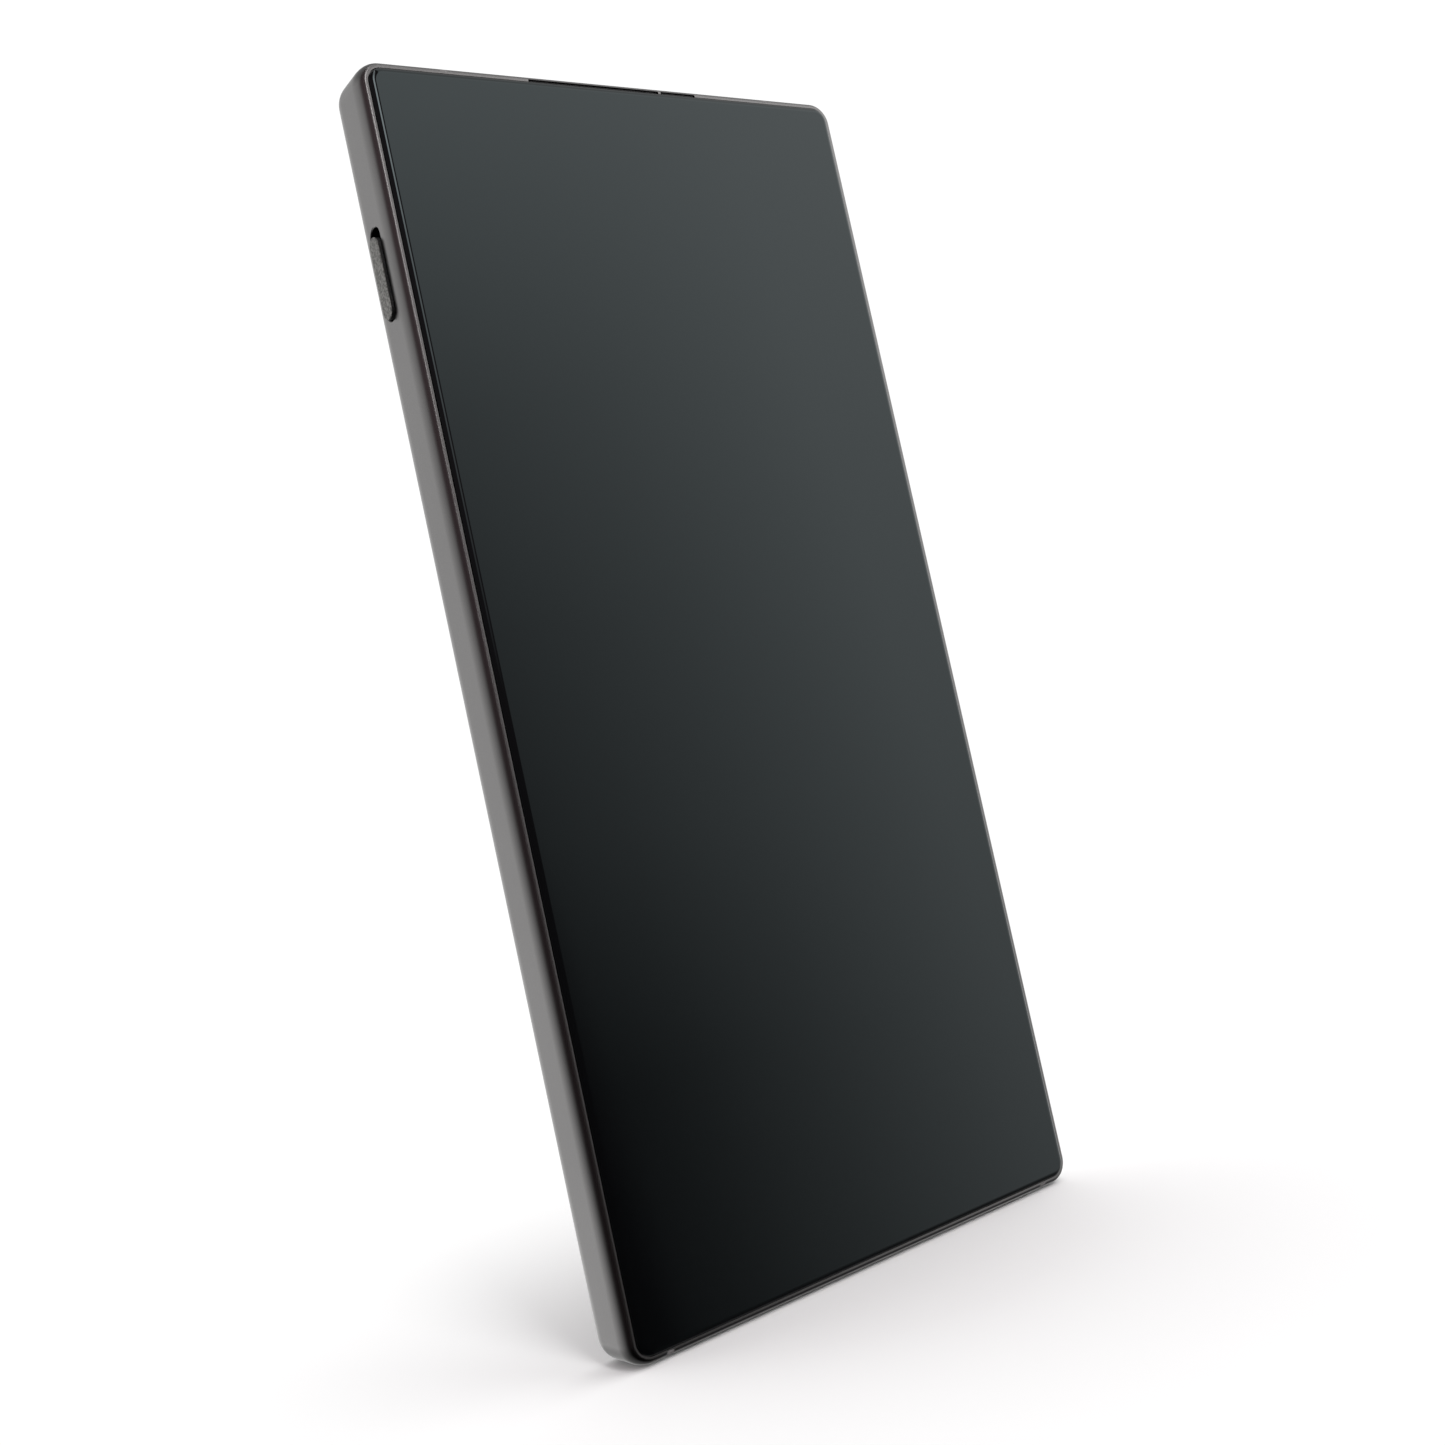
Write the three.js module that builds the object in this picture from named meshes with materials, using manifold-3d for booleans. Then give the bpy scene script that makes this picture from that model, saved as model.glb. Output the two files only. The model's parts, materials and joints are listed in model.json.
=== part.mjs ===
// Slab smartphone, standing on its bottom edge.
// X runs across the screen, Z runs up its length, and the screen faces -Y.
// The origin is at the middle of the bottom edge, halfway through the overall depth.
// All sizes are in millimetres.
import * as THREE from 'three';
import { mergeVertices } from 'three/addons/utils/BufferGeometryUtils.js';
import Module from 'manifold-3d';

// ---------------------------------------------------------------- driving dimensions

const WIDTH = 76.35;
const HEIGHT = 163.98;
const BODY_DEPTH = 8.8;
const CAMERA_RISE = 3.0;
const CORNER_RADIUS = 3.3;

const FRONT_Y = -(BODY_DEPTH + CAMERA_RISE) / 2;
const BACK_Y = FRONT_Y + BODY_DEPTH;
const LENS_TOP_Y = BACK_Y + CAMERA_RISE;
const MID_Z = HEIGHT / 2;

const LIP_WIDTH = 1.2;
const WALL = 2.2;
const LEDGE_DEPTH = 0.9;
const GLASS_GAP = 0.1;
const SCREEN_PROUD = 0.5;
const COVER_PROUD = 0.1;
const EDGE_ROUND_ACROSS = 1.0;
const FRONT_ROUND_DEEP = 2.4;
const BACK_ROUND_DEEP = 2.1;
const SEAM = 0.05;
const CLEARANCE = 0.15;

const FRAME_FRONT = FRONT_Y + SCREEN_PROUD;
const FRAME_BACK = BACK_Y - COVER_PROUD;
const LEDGE_FRONT = FRONT_Y + LEDGE_DEPTH;
const LEDGE_BACK = BACK_Y - LEDGE_DEPTH;
const INNER_X = WIDTH / 2 - WALL;
const COVER_WIDTH = WIDTH - 2 * (LIP_WIDTH + GLASS_GAP);
const COVER_HEIGHT = HEIGHT - 2 * (LIP_WIDTH + GLASS_GAP);
const COVER_RADIUS = CORNER_RADIUS - LIP_WIDTH - GLASS_GAP;
const FRONT_GLASS = 0.6;
const FRONT_CURVE_ACROSS = 0.8;
const FRONT_CURVE_DEEP = 0.5;
const BACK_GLASS = 0.7;
const BACK_GLASS_EDGE = 0.2;

const PLATE_FRONT = FRONT_Y + 1.85;
const PLATE_BACK = PLATE_FRONT + 0.7;
const BAY_FRONT = PLATE_BACK + 0.1;
const BOARD_FRONT = FRONT_Y + 4.7;
const BOARD_BACK = BOARD_FRONT + 0.8;
const BRACKET_FRONT = BACK_Y - 1.7;
const BRACKET_BACK = BRACKET_FRONT + 0.4;

// Keys, slots and sockets share one line along the edges, a little behind the middle.
const EDGE_Y = -0.9;
const KEY_WIDTH = 2.5;
const KEY_PROUD = 0.5;
const SLOT_WIDTH = KEY_WIDTH + 2 * CLEARANCE;

const SWITCH_TRAVEL = 1.2;
const SWITCH_LENGTH = 10.6;
const SWITCH_BOTTOM = 131.8;
const SWITCH_MIDDLE = SWITCH_BOTTOM + SWITCH_LENGTH / 2;

const POWER_LENGTH = 11;
const POWER_Z = 103;
const VOLUME_LENGTH = 22;
const VOLUME_Z = 126;
const VOLUME_REACH = 6.5;
const KEY_FLANGE_X = INNER_X - 0.75;
const FLANGE_THICKNESS = 0.6;
const DOME_HEIGHT = 0.5;
const DOME_RADIUS = 1.5;
const FLEX_X = KEY_FLANGE_X - 0.35 - DOME_HEIGHT;

const TRAY_X = -21;
const TRAY_FACE_LENGTH = 15.1;
const TRAY_FACE_WIDTH = 1.9;
const TRAY_BODY_WIDTH = 13.8;
const TRAY_THICKNESS = 1.0;
const TRAY_END = 22.5;

const USB_LENGTH = 9.0;
const USB_WIDTH = 3.2;
const USB_WALL = 0.3;
const USB_DEEP = 7.4;

const SPEAKER_HOLES = 6;
const SPEAKER_HOLE_PITCH = 3.0;
const SPEAKER_FIRST_X = 13.5;
const SPEAKER_HOLE_RADIUS = 0.75;
const MICROPHONE_HOLE_RADIUS = 0.45;
const BOTTOM_MICROPHONE_X = -8.5;
const TOP_MICROPHONE_X = 18;

const SLIT_LEFT = -13.7;
const SLIT_RIB_LEFT = 7.05;
const SLIT_RIB_RIGHT = 7.5;
const SLIT_RIGHT = 13.3;
const SLIT_LIP = 0.87;
const SLIT_HEIGHT = 2;

const DECK_WIDTH = 64;
const DECK_HEIGHT = 27;
const DECK_RADIUS = 6;
const DECK_Z = 141;
const DECK_GAP = 0.1;
const DECK_FACE = BACK_Y + 1.8;
const SKIRT_INSET = 1;
const SKIRT_WIDTH = 3;
const CAMERAS = [
  { name: 'main', x: 0, body: 13, ringRadius: 9.0, glassRadius: 6.4 },
  { name: 'wide', x: 20.5, body: 11.5, ringRadius: 7.6, glassRadius: 5.2 },
  { name: 'tele', x: -20.5, body: 11.5, ringRadius: 7.6, glassRadius: 5.2 },
];
const FLASH_X = 10.8;
const FLASH_Z = DECK_Z + 9.4;
const FLASH_RADIUS = 1.7;
const FRONT_CAMERA_Z = 151;

const INSERT_WIDTH = 1.0;
const INSERT_DEPTH = 1.0;
const TOP_INSERT_X = 26;
const BOTTOM_INSERT_X = 32.5;

const BATTERY = { width: 62, bottom: 27, top: 109, back: BACK_Y - 1.2 };
const BOSS_RADIUS = 1.6;
const PILOT_RADIUS = 0.75;
const SCREW_RADIUS = 0.6;
const SCREW_HEAD_RADIUS = 1.25;
const SCREW_HEAD_HEIGHT = 0.4;
const SCREWS = [
  { x: -31, z: 156 },
  { x: 11, z: 157 },
  { x: -32.3, z: 12 },
  { x: 32.6, z: 12 },
];

const ARC_STEPS = 4;
const ROUND_STEPS = 28;

// ---------------------------------------------------------------- finishes

function finish(color, roughness, metalness) {
  return new THREE.MeshStandardMaterial({ color, roughness, metalness });
}

const anodised = finish(0x55565a, 0.5, 0.85);
const machined = finish(0x8c8e90, 0.45, 0.9);
const steel = finish(0xb4b6b8, 0.3, 1.0);
const copper = finish(0xb87a4b, 0.4, 1.0);
const frontGlass = finish(0x060708, 0.06, 0.0);
const backGlass = finish(0x17181a, 0.35, 0.0);
const lensGlass = finish(0x0a0c14, 0.04, 0.0);
const clearPlastic = finish(0xe9e6d8, 0.25, 0.0);
const blackPlastic = finish(0x141414, 0.6, 0.0);
const greyPlastic = finish(0x4a4b4d, 0.6, 0.0);
const circuitBoard = finish(0x12351f, 0.55, 0.0);
const flexFilm = finish(0x8a5a1e, 0.5, 0.0);
const foil = finish(0x2b2c30, 0.5, 0.3);
const adhesive = finish(0x0c0c0c, 0.8, 0.0);
const wovenMesh = finish(0x1c1c1d, 0.7, 0.4);

// ---------------------------------------------------------------- outlines and solids

const wasm = await Module();
wasm.setup();

// A rectangle with round corners, centred on (cx, cy).
function roundedRectangle(width, height, radius, cx = 0, cy = 0) {
  const right = width / 2 - radius;
  const top = height / 2 - radius;
  const quarter = Math.PI / 2;
  const outline = new THREE.Shape();
  outline.absarc(cx + right, cy + top, radius, 0, quarter);
  outline.absarc(cx - right, cy + top, radius, quarter, 2 * quarter);
  outline.absarc(cx - right, cy - top, radius, 2 * quarter, 3 * quarter);
  outline.absarc(cx + right, cy - top, radius, 3 * quarter, 4 * quarter);
  return outline;
}

// A bar with half-round ends, with its length along the outline's second axis.
function uprightSlot(width, length, cx = 0, cy = 0) {
  const radius = width / 2;
  const straight = length / 2 - radius;
  const outline = new THREE.Shape();
  outline.absarc(cx, cy + straight, radius, 0, Math.PI);
  outline.absarc(cx, cy - straight, radius, Math.PI, 2 * Math.PI);
  return outline;
}

// The same bar with its length along the outline's first axis.
function levelSlot(length, width, cx = 0, cy = 0) {
  const radius = width / 2;
  const straight = length / 2 - radius;
  const outline = new THREE.Shape();
  outline.absarc(cx + straight, cy, radius, -Math.PI / 2, Math.PI / 2);
  outline.absarc(cx - straight, cy, radius, Math.PI / 2, 1.5 * Math.PI);
  return outline;
}

function circle(radius, cx = 0, cy = 0) {
  const outline = new THREE.Shape();
  outline.absarc(cx, cy, radius, 0, 2 * Math.PI);
  return outline;
}

function extrude(outline, depth, bevel) {
  const options = { depth, steps: 1, curveSegments: ARC_STEPS, bevelEnabled: false };
  return new THREE.ExtrudeGeometry(outline, { ...options, ...bevel });
}

// An outline drawn in X and Z, extruded through the depth of the phone.
function alongY(outline, front, back, bevel) {
  return extrude(outline, back - front, bevel).rotateX(Math.PI / 2).translate(0, back, 0);
}

// An outline drawn in Y and Z, extruded from side to side.
function alongX(outline, left, right, bevel) {
  const turn = new THREE.Matrix4().makeBasis(
    new THREE.Vector3(0, 1, 0),
    new THREE.Vector3(0, 0, 1),
    new THREE.Vector3(1, 0, 0),
  );
  return extrude(outline, right - left, bevel).applyMatrix4(turn).translate(left, 0, 0);
}

// An outline drawn in X and Y, extruded upwards.
function alongZ(outline, bottom, top, bevel) {
  return extrude(outline, top - bottom, bevel).translate(0, 0, bottom);
}

// A slab whose long edges are rounded, its full size included.
function softSlab(width, height, radius, front, back, across, deep, steps) {
  const outline = roundedRectangle(width, height, radius, 0, MID_Z);
  const bevel = {
    bevelEnabled: true,
    bevelSize: across,
    bevelOffset: -across,
    bevelThickness: deep,
    bevelSegments: steps,
  };
  return alongY(outline, front + deep, back - deep, bevel);
}

function block(left, right, front, back, bottom, top) {
  const box = new THREE.BoxGeometry(right - left, back - front, top - bottom);
  return box.translate((left + right) / 2, (front + back) / 2, (bottom + top) / 2);
}

// A round post or hole through the depth of the phone.
function post(radius, x, z, front, back, steps = 16) {
  const height = back - front;
  const round = new THREE.CylinderGeometry(radius, radius, height, steps);
  return round.translate(x, (front + back) / 2, z);
}

// A body turned about an axis that points out of the back.
function turned(profile, x, z, steps = ROUND_STEPS) {
  const points = profile.map(([radius, y]) => new THREE.Vector2(radius, y));
  return new THREE.LatheGeometry(points, steps).translate(x, 0, z);
}

function toManifold(geometry) {
  const bare = geometry.clone();
  bare.deleteAttribute('normal');
  bare.deleteAttribute('uv');
  const merged = mergeVertices(bare, 1e-4);
  const vertProperties = new Float32Array(merged.attributes.position.array);
  const triVerts = new Uint32Array(merged.index.array);
  return new wasm.Manifold(new wasm.Mesh({ numProp: 3, vertProperties, triVerts }));
}

function toGeometry(solid) {
  const mesh = solid.getMesh();
  const geometry = new THREE.BufferGeometry();
  geometry.setAttribute('position', new THREE.BufferAttribute(mesh.vertProperties, 3));
  geometry.setIndex(new THREE.BufferAttribute(mesh.triVerts, 1));
  geometry.computeVertexNormals();
  return geometry;
}

function cut(geometry, tools) {
  const whole = toManifold(geometry);
  return toGeometry(tools.reduce((solid, tool) => solid.subtract(toManifold(tool)), whole));
}

function join(geometries) {
  const [first, ...others] = geometries.map(toManifold);
  return toGeometry(others.reduce((solid, other) => solid.add(other), first));
}

function common(first, second) {
  return toGeometry(toManifold(first).intersect(toManifold(second)));
}

function piece(name, geometry, material) {
  const mesh = new THREE.Mesh(geometry, material);
  mesh.name = name;
  return mesh;
}

// ---------------------------------------------------------------- side frame

const OUTSIDE = 1;

function roundedBlock(front, back, deep, steps) {
  return softSlab(WIDTH, HEIGHT, CORNER_RADIUS, front, back, EDGE_ROUND_ACROSS, deep, steps);
}

// The front edge is rounded over more of the depth than the back edge.
function frameBlank() {
  return common(
    roundedBlock(FRAME_FRONT, FRAME_BACK + BODY_DEPTH, FRONT_ROUND_DEEP, 6),
    roundedBlock(FRAME_FRONT - BODY_DEPTH, FRAME_BACK, BACK_ROUND_DEEP, 5),
  );
}

function recess(inset, front, back) {
  const outline = roundedRectangle(
    WIDTH - 2 * inset, HEIGHT - 2 * inset, CORNER_RADIUS - inset, 0, MID_Z,
  );
  return alongY(outline, front, back);
}

function insertBlock(x, atTop, grow) {
  const half = INSERT_WIDTH / 2 + grow;
  const deep = INSERT_DEPTH + grow;
  const bottom = atTop ? HEIGHT - deep : -OUTSIDE;
  const top = atTop ? HEIGHT + OUTSIDE : deep;
  return block(x - half, x + half, FRAME_FRONT - OUTSIDE, FRAME_BACK + OUTSIDE, bottom, top);
}

const INSERTS = [
  { name: 'top_left', x: -TOP_INSERT_X, atTop: true },
  { name: 'top_right', x: TOP_INSERT_X, atTop: true },
  { name: 'bottom_left', x: -BOTTOM_INSERT_X, atTop: false },
  { name: 'bottom_right', x: BOTTOM_INSERT_X, atTop: false },
];

function sideCut(width, length, z, onLeft) {
  const inside = INNER_X - OUTSIDE;
  const outside = WIDTH / 2 + OUTSIDE;
  const outline = uprightSlot(width, length, EDGE_Y, z);
  return onLeft ? alongX(outline, -outside, -inside) : alongX(outline, inside, outside);
}

function endCut(outline, atTop) {
  const inside = WALL + OUTSIDE;
  const bottom = atTop ? HEIGHT - inside : -OUTSIDE;
  const top = atTop ? HEIGHT + OUTSIDE : inside;
  return alongZ(outline, bottom, top);
}

function earpieceCut(left, right) {
  const top = HEIGHT - SLIT_LIP;
  return block(left, right, FRONT_Y - OUTSIDE, PLATE_FRONT, top - SLIT_HEIGHT, top);
}

function sideFrame() {
  const switchSlot = SWITCH_LENGTH + SWITCH_TRAVEL + 2 * CLEARANCE;
  const trayLength = TRAY_FACE_LENGTH + 2 * CLEARANCE;
  const trayWidth = TRAY_FACE_WIDTH + 2 * CLEARANCE;
  const tools = [
    recess(WALL, FRONT_Y - OUTSIDE, BACK_Y + OUTSIDE),
    recess(LIP_WIDTH, FRONT_Y - OUTSIDE, LEDGE_FRONT),
    recess(LIP_WIDTH, LEDGE_BACK, BACK_Y + OUTSIDE),
    sideCut(SLOT_WIDTH, switchSlot, SWITCH_MIDDLE + SWITCH_TRAVEL / 2, true),
    sideCut(SLOT_WIDTH, POWER_LENGTH + 2 * CLEARANCE, POWER_Z, false),
    sideCut(SLOT_WIDTH, VOLUME_LENGTH + 2 * CLEARANCE, VOLUME_Z, false),
    endCut(levelSlot(trayLength, trayWidth, TRAY_X, EDGE_Y), false),
    endCut(levelSlot(USB_LENGTH + 2 * SEAM, USB_WIDTH + 2 * SEAM, 0, EDGE_Y), false),
    endCut(circle(MICROPHONE_HOLE_RADIUS, BOTTOM_MICROPHONE_X, EDGE_Y), false),
    endCut(circle(MICROPHONE_HOLE_RADIUS, TOP_MICROPHONE_X, EDGE_Y), true),
    earpieceCut(SLIT_LEFT, SLIT_RIB_LEFT),
    earpieceCut(SLIT_RIB_RIGHT, SLIT_RIGHT),
  ];
  for (let hole = 0; hole < SPEAKER_HOLES; hole += 1) {
    const x = SPEAKER_FIRST_X + hole * SPEAKER_HOLE_PITCH;
    tools.push(endCut(circle(SPEAKER_HOLE_RADIUS, x, EDGE_Y), false));
  }
  for (const insert of INSERTS) {
    tools.push(insertBlock(insert.x, insert.atTop, SEAM));
  }
  return piece('side_frame', cut(frameBlank(), tools), anodised);
}

// Plastic bands that fill the shallow grooves across the ends of the frame.
function antennaInserts() {
  const body = cut(frameBlank(), [
    recess(LIP_WIDTH, FRONT_Y - OUTSIDE, BACK_Y + OUTSIDE),
  ]);
  return INSERTS.map(({ name, x, atTop }) => (
    piece(`antenna_insert_${name}`, common(body, insertBlock(x, atTop, 0)), greyPlastic)
  ));
}

// ---------------------------------------------------------------- screen side

// Only the front edge of the glass is curved: the slab is made twice as deep and halved.
function coverGlass() {
  const doubleBack = FRONT_Y + 2 * FRONT_GLASS;
  const slab = softSlab(
    COVER_WIDTH, COVER_HEIGHT, COVER_RADIUS, FRONT_Y, doubleBack,
    FRONT_CURVE_ACROSS, FRONT_CURVE_DEEP, 4,
  );
  const back = FRONT_Y + FRONT_GLASS;
  const rearHalf = block(-WIDTH, WIDTH, back, doubleBack + OUTSIDE, -OUTSIDE, HEIGHT + OUTSIDE);
  return piece('cover_glass', cut(slab, [rearHalf]), frontGlass);
}

const PANEL_WIDTH = 71.2;
const PANEL_HEIGHT = 158.6;
const PANEL_RADIUS = 0.9;
const PANEL_BACK = FRONT_Y + 1.45;
const FILM_GAP = 0.03;

function displayPanel() {
  const outline = roundedRectangle(PANEL_WIDTH, PANEL_HEIGHT, PANEL_RADIUS, 0, MID_Z);
  const front = FRONT_Y + FRONT_GLASS + FILM_GAP;
  return piece('display_panel', alongY(outline, front, PANEL_BACK), foil);
}

// A thin frame of adhesive between the cover glass and the ledge it rests on.
function displayAdhesive() {
  const front = FRONT_Y + FRONT_GLASS + FILM_GAP;
  const back = LEDGE_FRONT - FILM_GAP;
  const outer = LIP_WIDTH + 0.3;
  const inner = WALL - 0.1;
  const band = cut(recess(outer, front, back), [recess(inner, front - OUTSIDE, back + OUTSIDE)]);
  return piece('display_adhesive', band, adhesive);
}

const SLIT_TOP = HEIGHT - SLIT_LIP - SEAM;
const SLIT_FRONT = FRONT_Y + 0.75;
const SLIT_FILLER = 0.15;

function slitFiller(name, left, right, material) {
  const bottom = HEIGHT - LIP_WIDTH - GLASS_GAP + SEAM;
  const back = SLIT_FRONT + SLIT_FILLER;
  const strip = block(left + SEAM, right - SEAM, SLIT_FRONT, back, bottom, SLIT_TOP);
  return piece(name, strip, material);
}

function earpieceMesh() {
  return slitFiller('earpiece_mesh', SLIT_LEFT, SLIT_RIB_LEFT, wovenMesh);
}

function sensorLightGuide() {
  return slitFiller('sensor_light_guide', SLIT_RIB_RIGHT, SLIT_RIGHT, blackPlastic);
}

const EARPIECE = { left: -10, right: 6, bottom: 156.4, top: 161.2, depth: 3 };
const EARPIECE_MOUTH = { left: -8, right: 4, bottom: 158.4, top: 160.4, depth: 0.6 };

function earpieceSpeaker() {
  const { left, right, bottom, top, depth } = EARPIECE;
  const can = block(left, right, BAY_FRONT, BAY_FRONT + depth, bottom, top);
  const mouth = block(
    EARPIECE_MOUTH.left, EARPIECE_MOUTH.right,
    BAY_FRONT - OUTSIDE, BAY_FRONT + EARPIECE_MOUTH.depth,
    EARPIECE_MOUTH.bottom, EARPIECE_MOUTH.top,
  );
  return piece('earpiece_speaker', cut(can, [mouth]), blackPlastic);
}

const FRONT_CAMERA_BARREL = 2.2;
const FRONT_CAMERA_HALF = 3.5;
const FRONT_CAMERA_DEPTH = 2.8;

function frontCamera() {
  const half = FRONT_CAMERA_HALF;
  const barrel = post(
    FRONT_CAMERA_BARREL, 0, FRONT_CAMERA_Z, PANEL_BACK + SEAM, BAY_FRONT + OUTSIDE,
  );
  const base = block(
    -half, half, BAY_FRONT, BAY_FRONT + FRONT_CAMERA_DEPTH,
    FRONT_CAMERA_Z - half, FRONT_CAMERA_Z + half,
  );
  return piece('front_camera', join([base, barrel]), blackPlastic);
}

const FINGERPRINT_Z = 34;
const FINGERPRINT_SIZE = 9;
const FINGERPRINT_RADIUS = 1;
const FINGERPRINT_GAP = 0.3;

function fingerprintOutline(grow) {
  const size = FINGERPRINT_SIZE + 2 * grow;
  return roundedRectangle(size, size, FINGERPRINT_RADIUS + grow, 0, FINGERPRINT_Z);
}

function fingerprintSensor() {
  const tile = alongY(fingerprintOutline(0), PANEL_BACK + SEAM, PLATE_BACK);
  return piece('fingerprint_sensor', tile, circuitBoard);
}

const CHAMBER = { width: 60, height: 92, radius: 3, z: 92 };

function vapourChamber() {
  const outline = roundedRectangle(CHAMBER.width, CHAMBER.height, CHAMBER.radius, 0, CHAMBER.z);
  const sheet = alongY(outline, PANEL_BACK + SEAM, PLATE_FRONT - SEAM);
  return piece('vapour_chamber', sheet, copper);
}

// ---------------------------------------------------------------- mid plate, brackets, screws

const PLATE_GAP = 0.1;
const PLATE_RADIUS = 1;
const BOSS_OVERLAP = 0.2;

function midPlate() {
  const outline = roundedRectangle(
    2 * (INNER_X - PLATE_GAP), HEIGHT - 2 * (WALL + PLATE_GAP), PLATE_RADIUS, 0, MID_Z,
  );
  const plate = alongY(outline, PLATE_FRONT, PLATE_BACK);
  const bosses = SCREWS.map(({ x, z }) => (
    post(BOSS_RADIUS, x, z, PLATE_BACK - BOSS_OVERLAP, BRACKET_FRONT - SEAM)
  ));
  const pilots = SCREWS.map(({ x, z }) => post(PILOT_RADIUS, x, z, PLATE_BACK, BACK_Y));
  const before = PLATE_FRONT - OUTSIDE;
  const behind = PLATE_BACK + OUTSIDE;
  const windows = [
    post(FRONT_CAMERA_BARREL + 0.4, 0, FRONT_CAMERA_Z, before, behind),
    alongY(fingerprintOutline(FINGERPRINT_GAP), before, behind),
    block(EARPIECE_MOUTH.left, EARPIECE_MOUTH.right, before, behind, 158, 160.6),
  ];
  return piece('mid_plate', cut(join([plate, ...bosses]), [...pilots, ...windows]), machined);
}

function screwHoles() {
  const radius = PILOT_RADIUS + SEAM;
  return SCREWS.map(({ x, z }) => (
    post(radius, x, z, BRACKET_FRONT - OUTSIDE, BRACKET_BACK + OUTSIDE)
  ));
}

const BRACKET_WIDTH = 69;
const BRACKET_RADIUS = 2;
const TOP_BRACKET = { height: 46, z: 137.5 };
const BOTTOM_BRACKET = { height: 20, z: 13 };
const MODULE_GAP = 0.3;

function bracketSheet({ height, z }) {
  const outline = roundedRectangle(BRACKET_WIDTH, height, BRACKET_RADIUS, 0, z);
  return alongY(outline, BRACKET_FRONT, BRACKET_BACK);
}

function topBracket() {
  const before = BRACKET_FRONT - OUTSIDE;
  const behind = BRACKET_BACK + OUTSIDE;
  const windows = CAMERAS.map(({ x, body }) => {
    const half = body / 2 + MODULE_GAP;
    return block(x - half, x + half, before, behind, DECK_Z - half, DECK_Z + half);
  });
  const sheet = cut(bracketSheet(TOP_BRACKET), [...windows, ...screwHoles()]);
  return piece('top_bracket', sheet, blackPlastic);
}

function bottomBracket() {
  return piece('bottom_bracket', cut(bracketSheet(BOTTOM_BRACKET), screwHoles()), blackPlastic);
}

function bracketScrews() {
  const under = BRACKET_BACK + SEAM;
  const top = under + SCREW_HEAD_HEIGHT;
  const tip = PLATE_BACK + 1.2;
  const profile = [
    [0, tip],
    [SCREW_RADIUS, tip + 0.3],
    [SCREW_RADIUS, under],
    [SCREW_HEAD_RADIUS, under],
    [SCREW_HEAD_RADIUS - 0.1, top],
    [0, top],
  ];
  return SCREWS.map(({ x, z }, index) => (
    piece(`bracket_screw_${index + 1}`, turned(profile, x, z, 12), steel)
  ));
}

// ---------------------------------------------------------------- back cover and cameras

// The deck's outline, made smaller all round by an inset.
function deckOutline(inset) {
  return roundedRectangle(
    DECK_WIDTH - 2 * inset, DECK_HEIGHT - 2 * inset, DECK_RADIUS - inset, 0, DECK_Z,
  );
}

function backCover() {
  const front = BACK_Y - BACK_GLASS;
  const cover = softSlab(
    COVER_WIDTH, COVER_HEIGHT, COVER_RADIUS, front, BACK_Y, BACK_GLASS_EDGE, BACK_GLASS_EDGE, 2,
  );
  const window = alongY(deckOutline(-DECK_GAP), front - OUTSIDE, BACK_Y + OUTSIDE);
  return piece('back_cover', cut(cover, [window]), backGlass);
}

const GLASS_THICKNESS = 0.5;
const WINDOW_TOP = LENS_TOP_Y - 0.25;
const WINDOW_FOOT = WINDOW_TOP - GLASS_THICKNESS;
const RING_NECK = 0.5;
const NECK_DEPTH = 1.2;
const SHELF_WIDTH = 0.6;
const RING_CHAMFER = 0.4;
const BARREL_GAP = 0.9;
const BORE_INSET = 1.2;
const BARREL_INSET = 1.4;
const DECK_ROUND = 0.7;

// The deck rises through the window in the back cover and its skirt rests on the bracket.
function cameraDeck() {
  const bevel = {
    bevelEnabled: true,
    bevelSize: DECK_ROUND,
    bevelOffset: -DECK_ROUND,
    bevelThickness: DECK_ROUND,
    bevelSegments: 3,
  };
  const foot = BACK_Y - BACK_GLASS;
  const plate = alongY(deckOutline(0), foot + DECK_ROUND, DECK_FACE - DECK_ROUND, bevel);
  const skirt = alongY(deckOutline(SKIRT_INSET), BRACKET_BACK + SEAM, foot + 0.2);
  const well = alongY(deckOutline(SKIRT_INSET + SKIRT_WIDTH), BRACKET_BACK - OUTSIDE, foot + 0.1);
  const bores = CAMERAS.map(({ x, glassRadius }) => (
    post(glassRadius + RING_NECK + 0.1, x, DECK_Z, BRACKET_FRONT, LENS_TOP_Y, ROUND_STEPS)
  ));
  const flash = post(FLASH_RADIUS + SEAM, FLASH_X, FLASH_Z, BACK_Y - SEAM, LENS_TOP_Y, 20);
  return piece('camera_deck', cut(join([plate, skirt]), [well, ...bores, flash]), anodised);
}

// A stepped ring: a neck drops into the deck's bore and the glass rests on a shelf inside it.
function lensRing({ name, x, ringRadius, glassRadius }) {
  const foot = DECK_FACE + SEAM;
  const end = foot - NECK_DEPTH;
  const neck = glassRadius + RING_NECK;
  const bore = glassRadius - SHELF_WIDTH;
  const profile = [
    [bore, end],
    [neck, end],
    [neck, foot],
    [ringRadius, foot],
    [ringRadius, LENS_TOP_Y - RING_CHAMFER],
    [ringRadius - RING_CHAMFER, LENS_TOP_Y],
    [glassRadius + SEAM, LENS_TOP_Y],
    [glassRadius + SEAM, WINDOW_FOOT],
    [bore, WINDOW_FOOT],
    [bore, end],
  ];
  return piece(`lens_ring_${name}`, turned(profile, x, DECK_Z), machined);
}

function lensWindow({ name, x, glassRadius }) {
  const foot = WINDOW_FOOT + 0.02;
  const disc = post(glassRadius, x, DECK_Z, foot, WINDOW_TOP, ROUND_STEPS);
  return piece(`lens_glass_${name}`, disc, lensGlass);
}

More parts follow.
